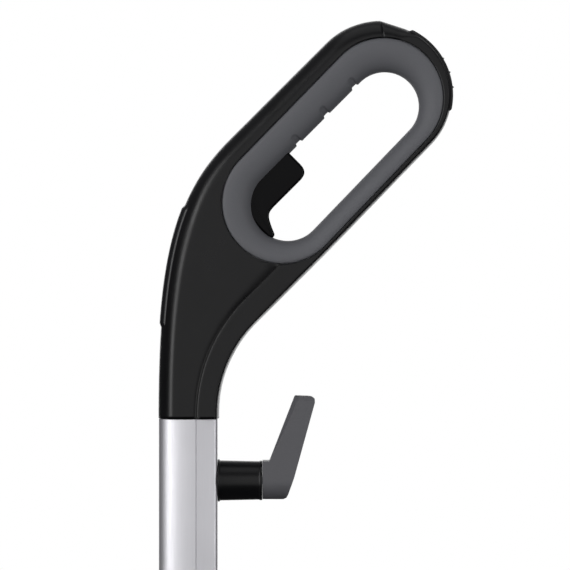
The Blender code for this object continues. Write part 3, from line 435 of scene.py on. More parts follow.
def seam_curve(side):
    """The seam between the shells on the neck: 1 and -1 are the two sides of its gap, 0 its middle."""
    shift = side * SEAM_GAP / 2
    radius, foot = 98.0, 5.3 + shift
    curve = [(foot, 0.0)] + arc((foot + radius, 2.0), radius, 180, 137, 60)
    angle = SEAM_ANGLE - math.degrees(shift / RING["low"][2])
    end = ring_arc("low", angle, angle, 2)[0]
    return curve + [end]


def front_outline():
    foot, top = -17.8, leaning(134.1, FRONT_LINE)
    neck = bezier([(foot, 0), (foot, 95), (-7.8, 133.9), top], 120)
    bar = [top, leaning(FRONT_ARC[0], FRONT_LINE)]
    return neck, bar, leaning_arc(FRONT_ARC, FRONT_RADIUS, -90, -45.2, 40)


def rear_outline():
    foot, radius, low_w, high_w = 18.6, 76, -10.1, END_ARC[1] + END_RADIUS
    neck = [(foot, 0.0)] + arc((foot + radius, 3.0), radius, 180, 135, 60)
    start = (neck[-1][0] + neck[-1][1]) / ROOT2
    share = (RING["low"][0] - start) / (END_ARC[0] - start)
    middle = leaning(RING["low"][0], low_w + (high_w - low_w) * share)
    end = leaning_arc(END_ARC, END_RADIUS, 90, -27, 90)
    end.append(leaning(TOP_SEAM[0] + 0.06, TOP_SEAM[1] + 0.12))
    return neck, [neck[-1], middle], [middle, leaning(END_ARC[0], high_w)], end


def front_edges():
    angle = SEAM_ANGLE + 0.3 - 360
    neck = seam_curve(-1) + ring_arc("low", angle, -90, 90)[1:]
    bar = [neck[-1], ring_arc("high", -90, -90, 2)[0]]
    return neck, bar, ring_arc("high", -90, -45.1, 40)


def rear_edges():
    seam = seam_curve(1)
    neck, rest = seam[:50], seam[49:]
    bar_low = rest + ring_arc("low", SEAM_ANGLE - 0.3, 90, 40)[1:]
    bar_high = [bar_low[-1], ring_arc("high", 90, 90, 2)[0]]
    return neck, bar_low, bar_high, ring_arc("high", 90, -44.9, 70)


def corner_section(depth, wide, tight, steps=20):
    """From the flat side (depth, wide) over the outer edge to the middle (0, 0): (inset, x) pairs."""
    lead, ease = tight * depth, 0.6 * wide
    return [(p[0], p[1]) for p in bezier([(depth, wide), (depth - lead, wide), (0, ease), (0, 0)], steps)]


def toward_of(start, end):
    """Unit vector from one flat point to another."""
    span = math.dist(start, end)
    return (end[0] - start[0]) / span, (end[1] - start[1]) / span


def moved(point, direction, distance):
    return point[0] + direction[0] * distance, point[1] + direction[1] * distance


def shell_rows(outer, inner, depth_at, tight_at, flats=6, lip=0.4):
    """Sections of a shell: a short inner wall, the flat side and the rounded outer edge, both sides."""
    rows = []
    for i, (out, inn) in enumerate(zip(outer, inner)):
        toward = toward_of(out, inn)
        wide, inner_wide = half_width(*out), half_width(*inn)
        share = i / (len(outer) - 1)
        depth = min(depth_at(share), math.dist(out, inn) - 0.5)
        flat_start, flat_end = moved(inn, toward, -lip), moved(out, toward, depth)
        half = [(*inn, inner_wide - 1.6), (*inn, inner_wide - 0.25), (*flat_start, inner_wide)]
        for k in range(1, flats + 1):
            t = k / (flats + 1)
            half.append((flat_start[0] + (flat_end[0] - flat_start[0]) * t,
                         flat_start[1] + (flat_end[1] - flat_start[1]) * t, wide))
        half += [(*moved(out, toward, inset), x) for inset, x in corner_section(depth, wide, tight_at(share))]
        rows.append([on_handle(x, y, z) for y, z, x in half]
                    + [on_handle(-x, y, z) for y, z, x in reversed(half[:-1])])
    return rows


def shell(name, node_name, outline, edges, counts, depth_at, tight_at, flip=1):
    rows = shell_rows(chain(outline, counts), chain(edges, counts), depth_at, tight_at)
    made = piece(name, grid(rows[::flip]), BLACK, "pole", [node_name], sharp=50, recalc=False)
    thicken(made, SHELL_WALL * MM)


def handle_shells():
    shell("handle_front", "handle_front_shell", front_outline(), front_edges(), (110, 30, 26),
          lambda t: 10.0 + 1.6 * smoothstep(t / 0.62),
          lambda t: 0.4 + 0.15 * smoothstep((t - 0.42) / 0.24), flip=-1)
    # The rear shell is thin, and takes on the front shell's section before they meet at the top.
    shell("handle_rear", "handle_rear_shell", rear_outline(), rear_edges(), (40, 50, 30, 70),
          lambda t: 2.4 + 9.2 * smoothstep((t - 0.9) / 0.1),
          lambda t: 0.45 + 0.1 * smoothstep((t - 0.9) / 0.1))
    seam = resample(seam_curve(0), 60)
    rows = []
    for point, normal in zip(seam, normals_of(seam)):
        reach = half_width(*point) - 1.75
        near, far = moved(point, normal, -SEAM_TONGUE_REACH), moved(point, normal, SEAM_TONGUE_REACH)
        corners = ((near, reach), (far, reach), (far, -reach), (near, -reach))
        rows.append([on_handle(x, *place) for place, x in corners])
    piece("seam_tongue", grid(rows, wrap_columns=True, caps=True), BLACK, "pole", sharp=30)


def stadium(ends, counts):
    (low, low_w, low_radius), (high, high_w, high_radius) = ends["low"], ends["high"]
    runs = ([leaning(low, low_w - low_radius), leaning(high, high_w - high_radius)],
            leaning_arc((high, high_w), high_radius, -90, 90, 80),
            [leaning(high, high_w + high_radius), leaning(low, low_w + low_radius)],
            leaning_arc((low, low_w), low_radius, 90, 270, 80))
    points = []
    for run, count in zip(runs, counts):
        points += resample(run, count + 1)[:-1]
    return points


def notch_depth(u, across):
    """Depth of the finger notches at a place along the bar and away from the hole's edge."""
    for middle in NOTCHES:
        reach = math.hypot(u - middle, max(across - 6.6, 0.0))
        if reach < NOTCH_RADIUS:
            return smoothstep((NOTCH_RADIUS - reach) / 0.8) * (1.5 - 0.04 * across)
    return 0.0


def grip_ring():
    """Soft ring between the shells: a flange under them, a narrow step and a round section to the hole."""
    counts, across, step = (240, 64, 40, 64), 56, 0.3
    rows = []
    for edge, hole in zip(stadium(RING, counts), stadium(HOLE, counts)):
        wide = half_width(*edge)
        span = math.dist(edge, hole)
        toward = toward_of(edge, hole)
        u, w = (hole[0] + hole[1]) / ROOT2, (hole[0] - hole[1]) / ROOT2
        grip_side = w < HOLE["high"][1] - HOLE["high"][2] + 1.0
        flange = ((wide - 2.4, -1.7), (wide - 2.4, 0.0), (wide - 1.6, 0.0), (wide - 1.15, 0.08),
                  (wide - 0.85, step))
        row = [on_handle(x, *moved(edge, toward, inset)) for x, inset in flange]
        far = [Vector((-p.x, p.y, p.z)) for p in reversed(row)]
        for i in range(1, across):
            a = math.pi * i / across
            x = math.copysign(abs(math.cos(a)) ** 0.8, math.cos(a)) * wide
            inset = step + math.sin(a) ** 0.8 * (span - step)
            x -= math.copysign(0.8 * max(1 - inset / (0.38 * span), 0) ** 2, x)
            sunk = notch_depth(u, span - inset + 0.25 * abs(x)) if grip_side else 0.0
            lean_in = abs(x) / wide
            x -= math.copysign(sunk * lean_in, x)
            inset -= sunk * (1 - lean_in)
            row.append(on_handle(x, *moved(edge, toward, inset)))
        rows.append(row + far)
    ring = piece("soft_grip_ring", grid(rows, wrap_rows=True), GREY, "pole", ["grip_ring"], sharp=60)
    thicken(ring, 1.2 * MM)


def trigger():
    outline = [(155.2, -74.5), (155.2, -60), (154.9, -57.0), (153.2, -54.2), (149.8, -53.2),
               (124.6, -53.2), (121.4, -52.6), (119.2, -50.6), (117.8, -48.2), (116.2, -45.0),
               (114.6, -41.0), (112.6, -40.3), (110.7, -42.4), (110.8, -51.5), (111.2, -57.5), (106.2, -63.0),
               (103.9, -66.0), (104.2, -69.0), (107, -70.6), (110.5, -70.2), (114, -72.5), (120, -74.5),
               (122.2, -74.5), (122.4, -72.4), (129.6, -72.4), (129.8, -74.5)]
    points = rounded([leaning(*p) for p in outline], 2.4, 5, closed=True)
    shape = slab_shape(points, 6.5, 1.7, on_handle, steps=6, count=260, middle=3)
    piece("trigger_blade", shape, TRIGGER_BLACK, "trigger", ["trigger"], sharp=50)


def neck_panel():
    outline = resample(front_outline()[0], 400)
    outer = [p for p in outline if 54 <= p[1] <= 128.5]
    half = [(0, 1.15), (4, 0.95), (6.5, 0.35), (8.3, -0.7), (9.2, -1.8), (9.7, -3.0)]
    profile = rounded([(-x, h) for x, h in half[:0:-1]] + half, 1.2, 4)
    rows = []
    for i, (point, normal) in enumerate(zip(outer, normals_of(outer))):
        ends = min(i, len(outer) - 1 - i) * 0.3
        drop = 1.1 * (1 - smoothstep(ends / 2.2))
        rows.append([on_handle(x, *moved(point, normal, drop - h)) for x, h in profile])
    panel = piece("indicator_cover", grid(rows[::-1]), PANEL, "pole", ["indicator_panel"], sharp=50)
    thicken(panel, 0.6 * MM)


def wall_rest():
    outer = leaning_arc(END_ARC, END_RADIUS, PAD_START, PAD_END, 240)
    half = [(0, 0.95), (8.6, 0.8), (9.5, 0.35), (9.6, -0.9)]
    profile = rounded([(-x, h) for x, h in half[:0:-1]] + half, 0.6, 4)
    rows = []
    for i, (point, normal) in enumerate(zip(outer, normals_of(outer))):
        angle = PAD_START - (PAD_START - PAD_END) * i / (len(outer) - 1)
        rib = max(smoothstep(1 - abs(angle - a) / 0.85) for a in PAD_RIBS)
        ends = min(i, len(outer) - 1 - i)
        drop = 1.5 * (1 - smoothstep(ends / 9))
        row = []
        for x, h in profile:
            lift = h - drop + (rib * 1.1 * smoothstep((8.4 - abs(x)) / 0.9) if h > 0.6 else 0)
            row.append(on_handle(x, *moved(point, normal, lift)))
        rows.append(row)
    pad = piece("wall_rest", grid(rows), RUBBER, "pole", ["wall_rest_pad"], sharp=50)
    thicken(pad, 0.5 * MM)


# ---------------------------------------------------------------- pole and hooks


def pole_outline(inset=0.0, crease=True, count=40):
    """The tube's section. Its crease is a fine groove between the round front and the flat rear flank."""
    half = []
    for i in range(count + 1):
        t = math.pi / 2 * i / count
        half.append((15 * math.sin(t) ** (2 / 2.8), 4.6 - 22.1 * math.cos(t) ** (2 / 2.8)))
    half += [(14.99, 4.78), (14.45, 4.95), (14.45, 5.1), (14.93, 5.27)] if crease else [(14.95, 5.1)]
    half += arc((10.0, 15.1), 2.4, 12, 90, 8)
    full = half + [(-x, y) for x, y in reversed(half) if x > 1e-9]
    return inset_outline(full, inset) if inset else full


def on_pole(x, y, z):
    return Vector((x * MM, y * MM + POLE_Y, z * MM))


def tube(name, low, high, node_name):
    outline = pole_outline()
    rows = []
    for z, shrink in ((low, 0.25), (low + 0.25, 0.0), (high - 0.25, 0.0), (high, 0.25)):
        ring = inset_outline(outline, shrink) if shrink else outline
        rows.append([on_pole(x, y, z) for x, y in ring])
    made = piece(name, grid(rows, wrap_columns=True), ALUMINIUM, "pole", [node_name], sharp=9)
    thicken(made, 1.5 * MM)


def hook():
    """Round post and the arm on it: the arm's side outline, narrowed by its outline from behind."""
    post, reach = 26.65, 26.8
    profile = rounded([(0, 0), (12.7, 0), (12.7, 1.2), (12.05, 1.4), (11.55, 24.8), (11.9, 25.2),
                       (11.9, post), (0, post)], 0.3, 3)
    piece("hook_base", turned_shape(profile, 96, "Y", (0, HOOK_Y, HOOK_Z)), BLACK, "pole", ["hook_post"],
          sharp=45)
    side = [(0, -11.2), (12.4, -11.2), (14.4, -10.2), (15.4, -8.2), (19.0, 2), (31.4, 46.8), (31.3, 49.0),
            (29.6, 50.4), (27.4, 50.7), (19.8, 51.0), (19.2, 50.6), (4.2, 11.9), (0, 11.9)]
    rear = arc((0, 0), 11.4, 180, 360, 40) + [(8.6, 44), (8.2, 48), (6.4, 50.6), (4, 51.4), (-4, 51.4),
                                             (-6.4, 50.6), (-8.2, 48), (-8.6, 44)]
    shape = carved(prism_shape(side, -30, 30, in_side), ("INTERSECT", prism_shape(rear, -60, 60, in_front)))
    bmesh.ops.dissolve_limit(shape, angle_limit=math.radians(1), verts=shape.verts, edges=shape.edges)
    slant = Vector((0, -38.7, 15.0)).normalized()
    inner = [f for f in shape.faces if f.normal.dot(slant) > 0.99]
    rim = [e for f in inner for e in f.edges if any(abs(g.normal.x) > 0.7 for g in e.link_faces)]
    bmesh.ops.bevel(shape, geom=list(set(rim)), offset=2.5 * MM, segments=1, affect="EDGES")
    bmesh.ops.translate(shape, vec=(0, HOOK_Y + reach * MM, HOOK_Z), verts=shape.verts)
    arm = piece("cord_hook_arm", shape, HOOK_GREY, "cord_hook", ["upper_cord_hook"], sharp=30)
    soften(arm, 0.8, angle=28)


def collar():
    """Sleeve over the tubes' joint, with a bead at each end, two grooves and a bezel for the button."""
    low, high = 471.0, 539.0
    end = [(0, 0.3), (0, 2.2), (1.2, 2.9), (9, 2.9), (9.4, 2.35), (10.2, 2.35), (10.6, 2.9)]
    outside = [(low + z, out) for z, out in end] + [(high - z, out) for z, out in reversed(end)]
    profile = rounded(outside + [(high - 2, 1.6), (low + 2, 1.6)], 0.2, 2, closed=True)
    outline = pole_outline(crease=False)
    rows = [[on_pole(x, y, z) for x, y in inset_outline(outline, -out)] for z, out in profile]
    at = (0, POLE_Y - 20.5 * MM, BUTTON_Z)
    sleeve = facing_out(grid(rows, wrap_rows=True, wrap_columns=True))
    shape = carved(sleeve, ("DIFFERENCE", rod_shape(7.5, -8, 8, "Y", at)))
    made = piece("collar_sleeve", shape, BLACK, "pole", ["tube_collar"], sharp=40)
    soften(made, 0.25, 2, 50)
    at = (0, POLE_Y - 20.9 * MM, BUTTON_Z)
    bezel = rounded([(7.45, 1.5), (7.45, -1.1), (9.2, -1.1), (10.2, -0.3), (10.2, 1.5)], 0.35, 3, closed=True)
    piece("button_bezel", turned_shape(bezel + bezel[:1], 72, "Y", at), BLACK, "pole", sharp=45)
    face = rounded([(0, -3.0), (2.4, -3.0), (3.6, -3.3), (5.6, -3.6), (6.4, -3.2), (7.0, -2.2), (7.0, 0.2),
                    (4.0, 0.2), (4.0, 10.4), (0, 10.4)], 0.5, 4)
    at = (0, POLE_Y - 22.5 * MM, BUTTON_Z)
    button = turned_shape(face, 72, "Y", at)
    piece("button_face", button, HOOK_GREY, "release_button", ["release_button"], sharp=45)


def lower_hook():
    side = rounded([(0, -9), (6, -10), (13, -12), (17, -30), (20, -33), (26, -32), (27.5, -29), (25, 2),
                    (21, 8), (0, 9)], 3, 6, closed=True)

    def place(x, y, z):
        return Vector((x * MM, y * MM + COLLAR_REAR_Y, z * MM + COLLAR_Z + 22 * MM))

    shape = slab_shape(side, 9, 2.2, place, steps=6, count=200, middle=3)
    piece("lower_hook", shape, HOOK_GREY, "pole", ["lower_cord_hook"], sharp=45)


def gland():
    """Strain relief with ribs that get smaller towards its mouth."""
    profile = [(3.6, 15), (4.9, 15)]
    for i in range(5):
        z, radius = 13.6 - 2.4 * i, 5.1 + 0.32 * i
        profile += [(radius, z + 0.5), (radius, z - 0.9), (radius - 0.9, z - 1.0), (radius - 0.9, z - 1.8)]
    profile += [(6.9, 1.6), (8.0, 1.5), (8.2, 1.2), (8.2, 0), (3.6, 0)]
    profile = rounded(profile, 0.25, 3, closed=True)
    at = (0, COLLAR_REAR_Y, COLLAR_Z - 22 * MM)
    piece("ribbed_gland", turned_shape(profile + profile[:1], 72, "Y", at), RUBBER, "pole", ["cord_gland"],
          sharp=45)


# ---------------------------------------------------------------- steering neck

PIVOT_Z, SWIVEL_Z, SOCKET_Z = 56.0, 98.0, 152.0
NECK_LOW, NECK_HIGH = 114, 205.8
PIVOT_BORE, SWIVEL_BORE = 4.12, 3.62
NECK_GRIP_LINES = (184, 189.5, 195)


def superellipse(width, depth, power, count=120):
    points = []
    for i in range(count):
        a = 2 * math.pi * i / count
        c, t = math.cos(a), math.sin(a)
        points.append((width * math.copysign(abs(c) ** power, c), depth * math.copysign(abs(t) ** power, t)))
    return points


def neck_size(z):
    """Half the neck's width and depth at a height."""
    keys = [(NECK_LOW, 15, 14), (122, 17.5, 17), (142, 18.6, 19.6), (148, 18.6, 20.6), (202, 18, 20.2),
            (NECK_HIGH, 17.2, 19.4)]
    k = max(j for j in range(len(keys) - 1) if keys[j][0] <= z + 1e-9)
    low, high = keys[k], keys[k + 1]
    share = (z - low[0]) / (high[0] - low[0])
    if k < 2:
        share = smoothstep(share)
    return low[1] + (high[1] - low[1]) * share, low[2] + (high[2] - low[2]) * share


def swivel_neck():
    """Forked neck: a swelling body with three grip grooves, two ears below and the tube's socket above."""
    rows = []
    steps = 96
    for i in range(steps + 1):
        z = NECK_LOW + (NECK_HIGH - NECK_LOW) * i / steps
        width, depth = neck_size(z)
        groove = max(smoothstep(1 - abs(z - middle) / 1.6) for middle in NECK_GRIP_LINES)
        shrink = 0.8 * groove + 0.9 * smoothstep((z - 203.4) / 2.4)
        power = 0.8 - 0.3 * smoothstep((z - 122) / 22)
        rows.append([on_pole(x, y, z) for x, y in superellipse(width - shrink, depth - shrink, power)])
    body = facing_out(grid(rows, wrap_columns=True, caps=True))
    socket = pole_outline(-0.3, crease=False)

    def at_height(z, x, y):
        return on_pole(x, y, z)

    def on_ear(y, x, z):
        return on_pole(x, y, z + SWIVEL_Z)

    ear = arc((0, 0), 12.5, 180, 360, 40) + [(12.5, 22), (-12.5, 22)]
    at = (0, POLE_Y, SWIVEL_Z * MM)
    shape = carved(
        body,
        ("UNION", prism_shape(ear, 7.5, 12.5, on_ear)), ("UNION", prism_shape(ear, -12.5, -7.5, on_ear)),
        ("DIFFERENCE", prism_shape(socket, SOCKET_Z - 2, 230, at_height)),
        ("DIFFERENCE", rod_shape(SWIVEL_BORE, -30, 30, "Y", at)),
        ("DIFFERENCE", rod_shape(5, -20, 4, "Z", (0, POLE_Y, SOCKET_Z * MM))))
    made = piece("forked_neck", shape, BLACK_HEAD, "pole", ["swivel_neck"], sharp=35)
    soften(made, 0.45, 2, 50)


def trunnion():
    height = SWIVEL_Z - PIVOT_Z

    def on_tongue(y, x, z):
        return on_pole(x, y, z + PIVOT_Z)

    tongue = arc((0, height), 12, 0, 180, 48) + [(-12, 0), (12, 0)]
    barrel = rod_shape(11, -16, 16, "X", (0, POLE_Y, PIVOT_Z * MM), 72)
    shape = carved(
        barrel, ("UNION", prism_shape(tongue, -7, 7, on_tongue)),
        ("DIFFERENCE", rod_shape(PIVOT_BORE, -30, 30, "X", (0, POLE_Y, PIVOT_Z * MM))),
        ("DIFFERENCE", rod_shape(SWIVEL_BORE, -30, 30, "Y", (0, POLE_Y, SWIVEL_Z * MM))))
    made = piece("trunnion", shape, BLACK_HEAD, "trunnion", ["trunnion_block"], sharp=35)
    soften(made, 0.7, 3, 50)


# ---------------------------------------------------------------- floor head

HEAD = {"half": 136.0, "front": -131.1, "rear": 70.0, "floor": 10.0, "nose": 22.0, "tail": 14.0}
BRUSH, WHEEL, ROLLER = (-86.0, 31.0), (44.0, 19.0), (-104.0, 7.0)  # (y, z) of their axes
BRUSH_CORE_RADIUS, BRUSH_REACH = 12.2, 28.3
TUFT_END, TUFTS_PER_ROW, HAIRS_PER_TUFT = 112.5, 50, 9
NECK_SLOT = ((-26, 26), (-42, -3), 6)
VENTS, VENT_START, VENT_PITCH, VENT_WIDTH = 9, -112, 6.5, 2.6
BIN_REAR = 69.7
WHEEL_X, ROLLER_X = 112, 124.5
SKIRT_LINE = 16.0  # height of the fine groove round the cover


def head_profile():
    """The cover's outline seen from the side, from its front rim over to the rear."""
    front, rear = HEAD["front"], HEAD["rear"]
    nose = bezier([(front, 30), (front, 54), (-112, 64), (-84, 64)], 60)
    back = bezier([(-84, 64), (-60, 64), (-40, 54), (0, 50)], 50)
    tail = bezier([(50, 45), (62, 44), (rear, 40), (rear, 30)], 30)
    return nose, back[1:] + [(25.0, 47.5)], tail


def head_half(y):
    """Half the head's width at a place along it: its plan has rounded corners."""
    nose, tail = HEAD["nose"], HEAD["tail"]
    front, rear = y - HEAD["front"], HEAD["rear"] - y
    if front < nose:
        return HEAD["half"] - nose + math.sqrt(max(nose**2 - (nose - front) ** 2, 0))
    if rear < tail:
        return HEAD["half"] - tail + math.sqrt(max(tail**2 - (tail - rear) ** 2, 0))
    return HEAD["half"]


def cover_row(y, z, edge=6.0, steps=8):
    """Cross-section of the cover at one place of its side outline: wall, rounded edge and top."""
    wide, floor = head_half(y), HEAD["floor"]
    radius = min(edge, (z - floor) * 0.8)
    half = [(wide, floor), (wide, floor + 2), (wide, SKIRT_LINE - 0.8), (wide - 0.5, SKIRT_LINE - 0.3),
            (wide - 0.5, SKIRT_LINE + 0.4), (wide, SKIRT_LINE + 0.9),
            (wide, (SKIRT_LINE + 1 + z - radius) / 2)]
    for k in range(steps + 1):
        a = math.pi / 2 * k / steps
        half.append((wide - radius + radius * math.cos(a), z - radius + radius * math.sin(a)))
    half += [((wide - radius) * share, z) for share in (0.96, 0.8, 0.6, 0.4, 0.2, 0.0)]
    both = half + [(-x, h) for x, h in reversed(half[:-1])]
    return [Vector((x, y, h)) * MM for x, h in both]


def cover():
    """Moulded hood: a shell over the side and plan outlines, with a neck slot, bin mouth and motor vents."""
    nose, back, tail = head_profile()
    outline = chain((nose, [nose[-1]] + back + [tail[0]], tail), (70, 80, 36))
    shape = facing_out(grid([cover_row(y, z) for y, z in outline], caps=True))
    base = [f for f in shape.faces if all(abs(v.co.z - HEAD["floor"] * MM) < 1e-7 for v in f.verts)]
    bmesh.ops.delete(shape, geom=base, context="FACES")
    cuts = [("DIFFERENCE", rounded_slot(*NECK_SLOT, 30, 80)),
            ("DIFFERENCE", box_shape((-96.4, 96.4), (50, 80), (5, 41.4)))]
    for i in range(VENTS):
        x = VENT_START + VENT_PITCH * i
        cuts.append(("DIFFERENCE", rounded_slot((x, x + VENT_WIDTH), (-34, -8), VENT_WIDTH / 2, 40, 80)))
    shape = carved(shape, *cuts, wall=2.4 * MM)
    made = piece("cover_shell", shape, BLACK_HEAD, "head", ["top_cover"], sharp=40)
    soften(made, 0.4, 2, 55)
    lip = slot_outline(*NECK_SLOT)
    rows = []
    for out, rise in ((0.0, -2.2), (0.0, 1.1), (0.4, 1.5), (1.9, 1.5), (2.6, 0.9), (3.0, -1.0)):
        ring = inset_outline(lip, -out)
        rows.append([Vector((x, y, deck_height(y) + rise)) * MM for x, y in ring])
    piece("neck_slot_rim", grid(rows, wrap_rows=True, wrap_columns=True), RUBBER, "head", sharp=40)


def deck_height(y):
    nose, back, tail = head_profile()
    points = nose + back + tail[:1]
    for a, b in zip(points, points[1:]):
        if a[0] <= y <= b[0] and b[0] > a[0]:
            return a[1] + (b[1] - a[1]) * (y - a[0]) / (b[0] - a[0])
    return points[-1][1]


def slot_outline(x, y, radius, steps=10):
    corners = ((x[1] - radius, y[0] + radius, -90), (x[1] - radius, y[1] - radius, 0),
               (x[0] + radius, y[1] - radius, 90), (x[0] + radius, y[0] + radius, 180))
    outline = []
    for cx, cy, start in corners:
        outline += arc((cx, cy), radius, start, start + 90, steps)
    return [p for i, p in enumerate(outline) if math.dist(p, outline[i - 1]) > 1e-6]


def rounded_slot(x, y, radius, low, high):
    return prism_shape(slot_outline(x, y, radius), low, high, in_plan)


def bumper():
    """Soft band round the nose: a rounded section with two grooves, swept along the head's plan."""
    half, nose, end = HEAD["half"], HEAD["nose"], -50.3
    corner_x, corner_y = half - nose, HEAD["front"] + nose
    path = [(half, end)] + arc((corner_x, corner_y), nose, 0, -90, 40)
    path += arc((-corner_x, corner_y), nose, -90, -180, 40) + [(-half, end)]
    path = resample(path, 260)
    upper = [(4.0, 22.8), (3.5, 23.1), (3.5, 23.5), (4.0, 23.8), (4.0, 25.8), (3.2, 27), (0.35, 27)]
    lower = [(0.35, 17), (3.2, 17), (4.0, 18.2), (4.0, 20.2), (3.5, 20.5), (3.5, 20.9), (4.0, 21.2)]
    section = rounded(lower + upper, 0.5, 3, closed=True)
    rows = []
    for point, normal in zip(path, normals_of(path)):
        rows.append([Vector((*moved(point, normal, -out), z)) * MM for out, z in section])
    shape = grid(rows, wrap_columns=True, caps=True)
    piece("bumper_strip", shape, HOOK_GREY, "head", ["front_bumper"], sharp=40)


def dust_bin():
    """Drawer of smoked plastic with a finger recess and ribs on its rear face."""
    outer = rounded_slot((-96, 96), (4, BIN_REAR), 3, 13.3, 41)
    steps = [("DIFFERENCE", rounded_slot((-94, 94), (6, 67.5), 2, 15.3, 60)),
             ("DIFFERENCE", box_shape((-80, 80), (-5, 10), (28, 60))),
             ("DIFFERENCE", rod_shape(16, -0.8, 3, "Y", (0, BIN_REAR * MM, 30 * MM), 96))]
    for side in (-1, 1):
        for i in range(4):
            x = side * (38 + 9 * i)
            groove = box_shape(sorted((x, x + side * 1.2)), (BIN_REAR - 0.6, 75), (18, 36))
            steps.append(("DIFFERENCE", groove))
    made = piece("bin_shell", carved(outer, *steps), SMOKED, "bin", ["dust_bin"], sharp=35)
    soften(made, 0.5, 3, 50)


def brush():
    """Brush core with four helical rows of bristle tufts on each half, wound towards the middle."""
    y, z = BRUSH
    core = [(0, -128.5), (3.5, -128.5), (3.5, -115.5), (11, -115.5), (12.5, -114), (12.5, -1), (11.6, 0),
            (12.5, 1), (12.5, 114), (11, 115.5), (3.5, 115.5), (3.5, 123.3), (0, 123.3)]
    core = turned_shape(rounded(core, 0.6, 4), 72, "X", (0, y * MM, z * MM))
    piece("brush_core", core, BLACK_HEAD, "brush", ["brush_roll"], sharp=40)
    chance = random.Random(7)
    shape = bmesh.new()
    for row in range(4):
        for k in range(TUFTS_PER_ROW):
            x = TUFT_END * (2 * k / (TUFTS_PER_ROW - 1) - 1)
            angle = math.pi / 2 * row + math.radians(150) * abs(x) / 115
            out = Vector((0, math.cos(angle), math.sin(angle)))
            along = Vector((0, -out.z, out.y))
            foot = Vector((x, y, z)) + out * BRUSH_CORE_RADIUS
            for hair in range(HAIRS_PER_TUFT):
                turn = 2 * math.pi * hair / (HAIRS_PER_TUFT - 1)
                spread = 0.0 if hair == HAIRS_PER_TUFT - 1 else 0.7
                root = foot + (Vector((1, 0, 0)) * math.cos(turn) + along * math.sin(turn)) * spread
                lean = Vector((chance.uniform(-0.6, 0.6), 0, 0)) + along * chance.uniform(-0.6, 0.6)
                reach = BRUSH_REACH - chance.uniform(0, 0.9) - BRUSH_CORE_RADIUS
                tip = root + out * reach + lean + (root - foot) * 1.2
                add_hair(shape, root, tip, 0.34)
    piece("bristles", shape, BRISTLE, "brush", sharp=60, recalc=False)


def add_hair(shape, root, tip, radius):
    """A thin four-sided spike."""
    axis = (tip - root).normalized()
    across = axis.orthogonal().normalized()
    other = axis.cross(across)
    corners = []
    for point, size in ((root, radius), (tip, radius * 0.6)):
        corners.append([shape.verts.new((point + (across * math.cos(a) + other * math.sin(a)) * size) * MM)
                        for a in (0, math.pi / 2, math.pi, 3 * math.pi / 2)])
    for i in range(4):
        j = (i + 1) % 4
        shape.faces.new((corners[0][i], corners[0][j], corners[1][j], corners[1][i]))
    shape.faces.new(corners[0][::-1])
    shape.faces.new(corners[1])


def mirrored_section(half, radius):
    """A closed (radius, along) section, the same to both sides of its middle, with its corners rounded."""
    section = rounded(half + [(r, -x) for r, x in reversed(half)], radius, 3, closed=True)
    return section + section[:1]


def wheels():
    hub = mirrored_section([(2.62, 9), (4.6, 9), (5.0, 8.2), (5.4, 6.2), (12.6, 6.2), (13.0, 8.2), (13.6, 9),
                            (14.4, 9), (15.5, 7.6)], 0.4)
    roller = mirrored_section([(1.35, 4.7), (5.2, 4.7), (6.6, 4.2), (7.0, 3.4), (7.0, 0.7), (6.6, 0.35)],
                              0.35)
    for side, name in ((-1, "left"), (1, "right")):
        at = (side * WHEEL_X * MM, WHEEL[0] * MM, WHEEL[1] * MM)
        body = facing_out(turned_shape(hub, 96, "X", at))
        body = carved(body, *[("UNION", spoke_shape(at, angle)) for angle in range(0, 360, 60)])
        wheel = f"wheel_{name}"
        piece(f"hub_{name}", body, HOOK_GREY, wheel, [f"wheel_hub_{name}"], sharp=35)
        piece(f"tyre_{name}", tyre_shape(at), RUBBER, wheel, [f"wheel_tyre_{name}"], sharp=35)
        at = (side * ROLLER_X * MM, ROLLER[0] * MM, ROLLER[1] * MM)
        piece(f"roller_{name}", turned_shape(roller, 72, "X", at), HOOK_GREY, f"roller_{name}",
              [f"front_roller_{name}"], sharp=40)


def spoke_shape(at, angle):
    """A thin rib across a wheel's web, on both of its faces."""
    a = math.radians(angle)
    out, across = Vector((0, math.cos(a), math.sin(a))), Vector((0, -math.sin(a), math.cos(a)))
    shape = bmesh.new()
    for x in (-7.9, 7.9):
        for r in (4.2, 13.2):
            for w in (-0.8, 0.8):
                shape.verts.new(Vector(at) + (Vector((x, 0, 0)) + out * r + across * w) * MM)
    bmesh.ops.convex_hull(shape, input=shape.verts)
    return shape


def tyre_shape(at, ribs=48):
    """Tyre with a tread of cross ribs."""
    half = [(15.8, 8), (17.4, 8), (18.3, 7.7), (19.0, 6.6), (19.0, 2.6), (18.5, 2.2)]
    profile = half + [(r, -x) for r, x in reversed(half)]
    rows = []
    steps = ribs * 4
    for i in range(steps):
        a = 2 * math.pi * i / steps
        low = 0.45 if i % 4 in (0, 1) else 0.0
        row = []
        for radius, x in profile:
            r = radius - (low if radius > 18.9 else 0)
            row.append(Vector(at) + Vector((x, r * math.cos(a), r * math.sin(a))) * MM)
        rows.append(row)
    return grid(rows, wrap_rows=True, wrap_columns=True)


# ---------------------------------------------------------------- camera and light

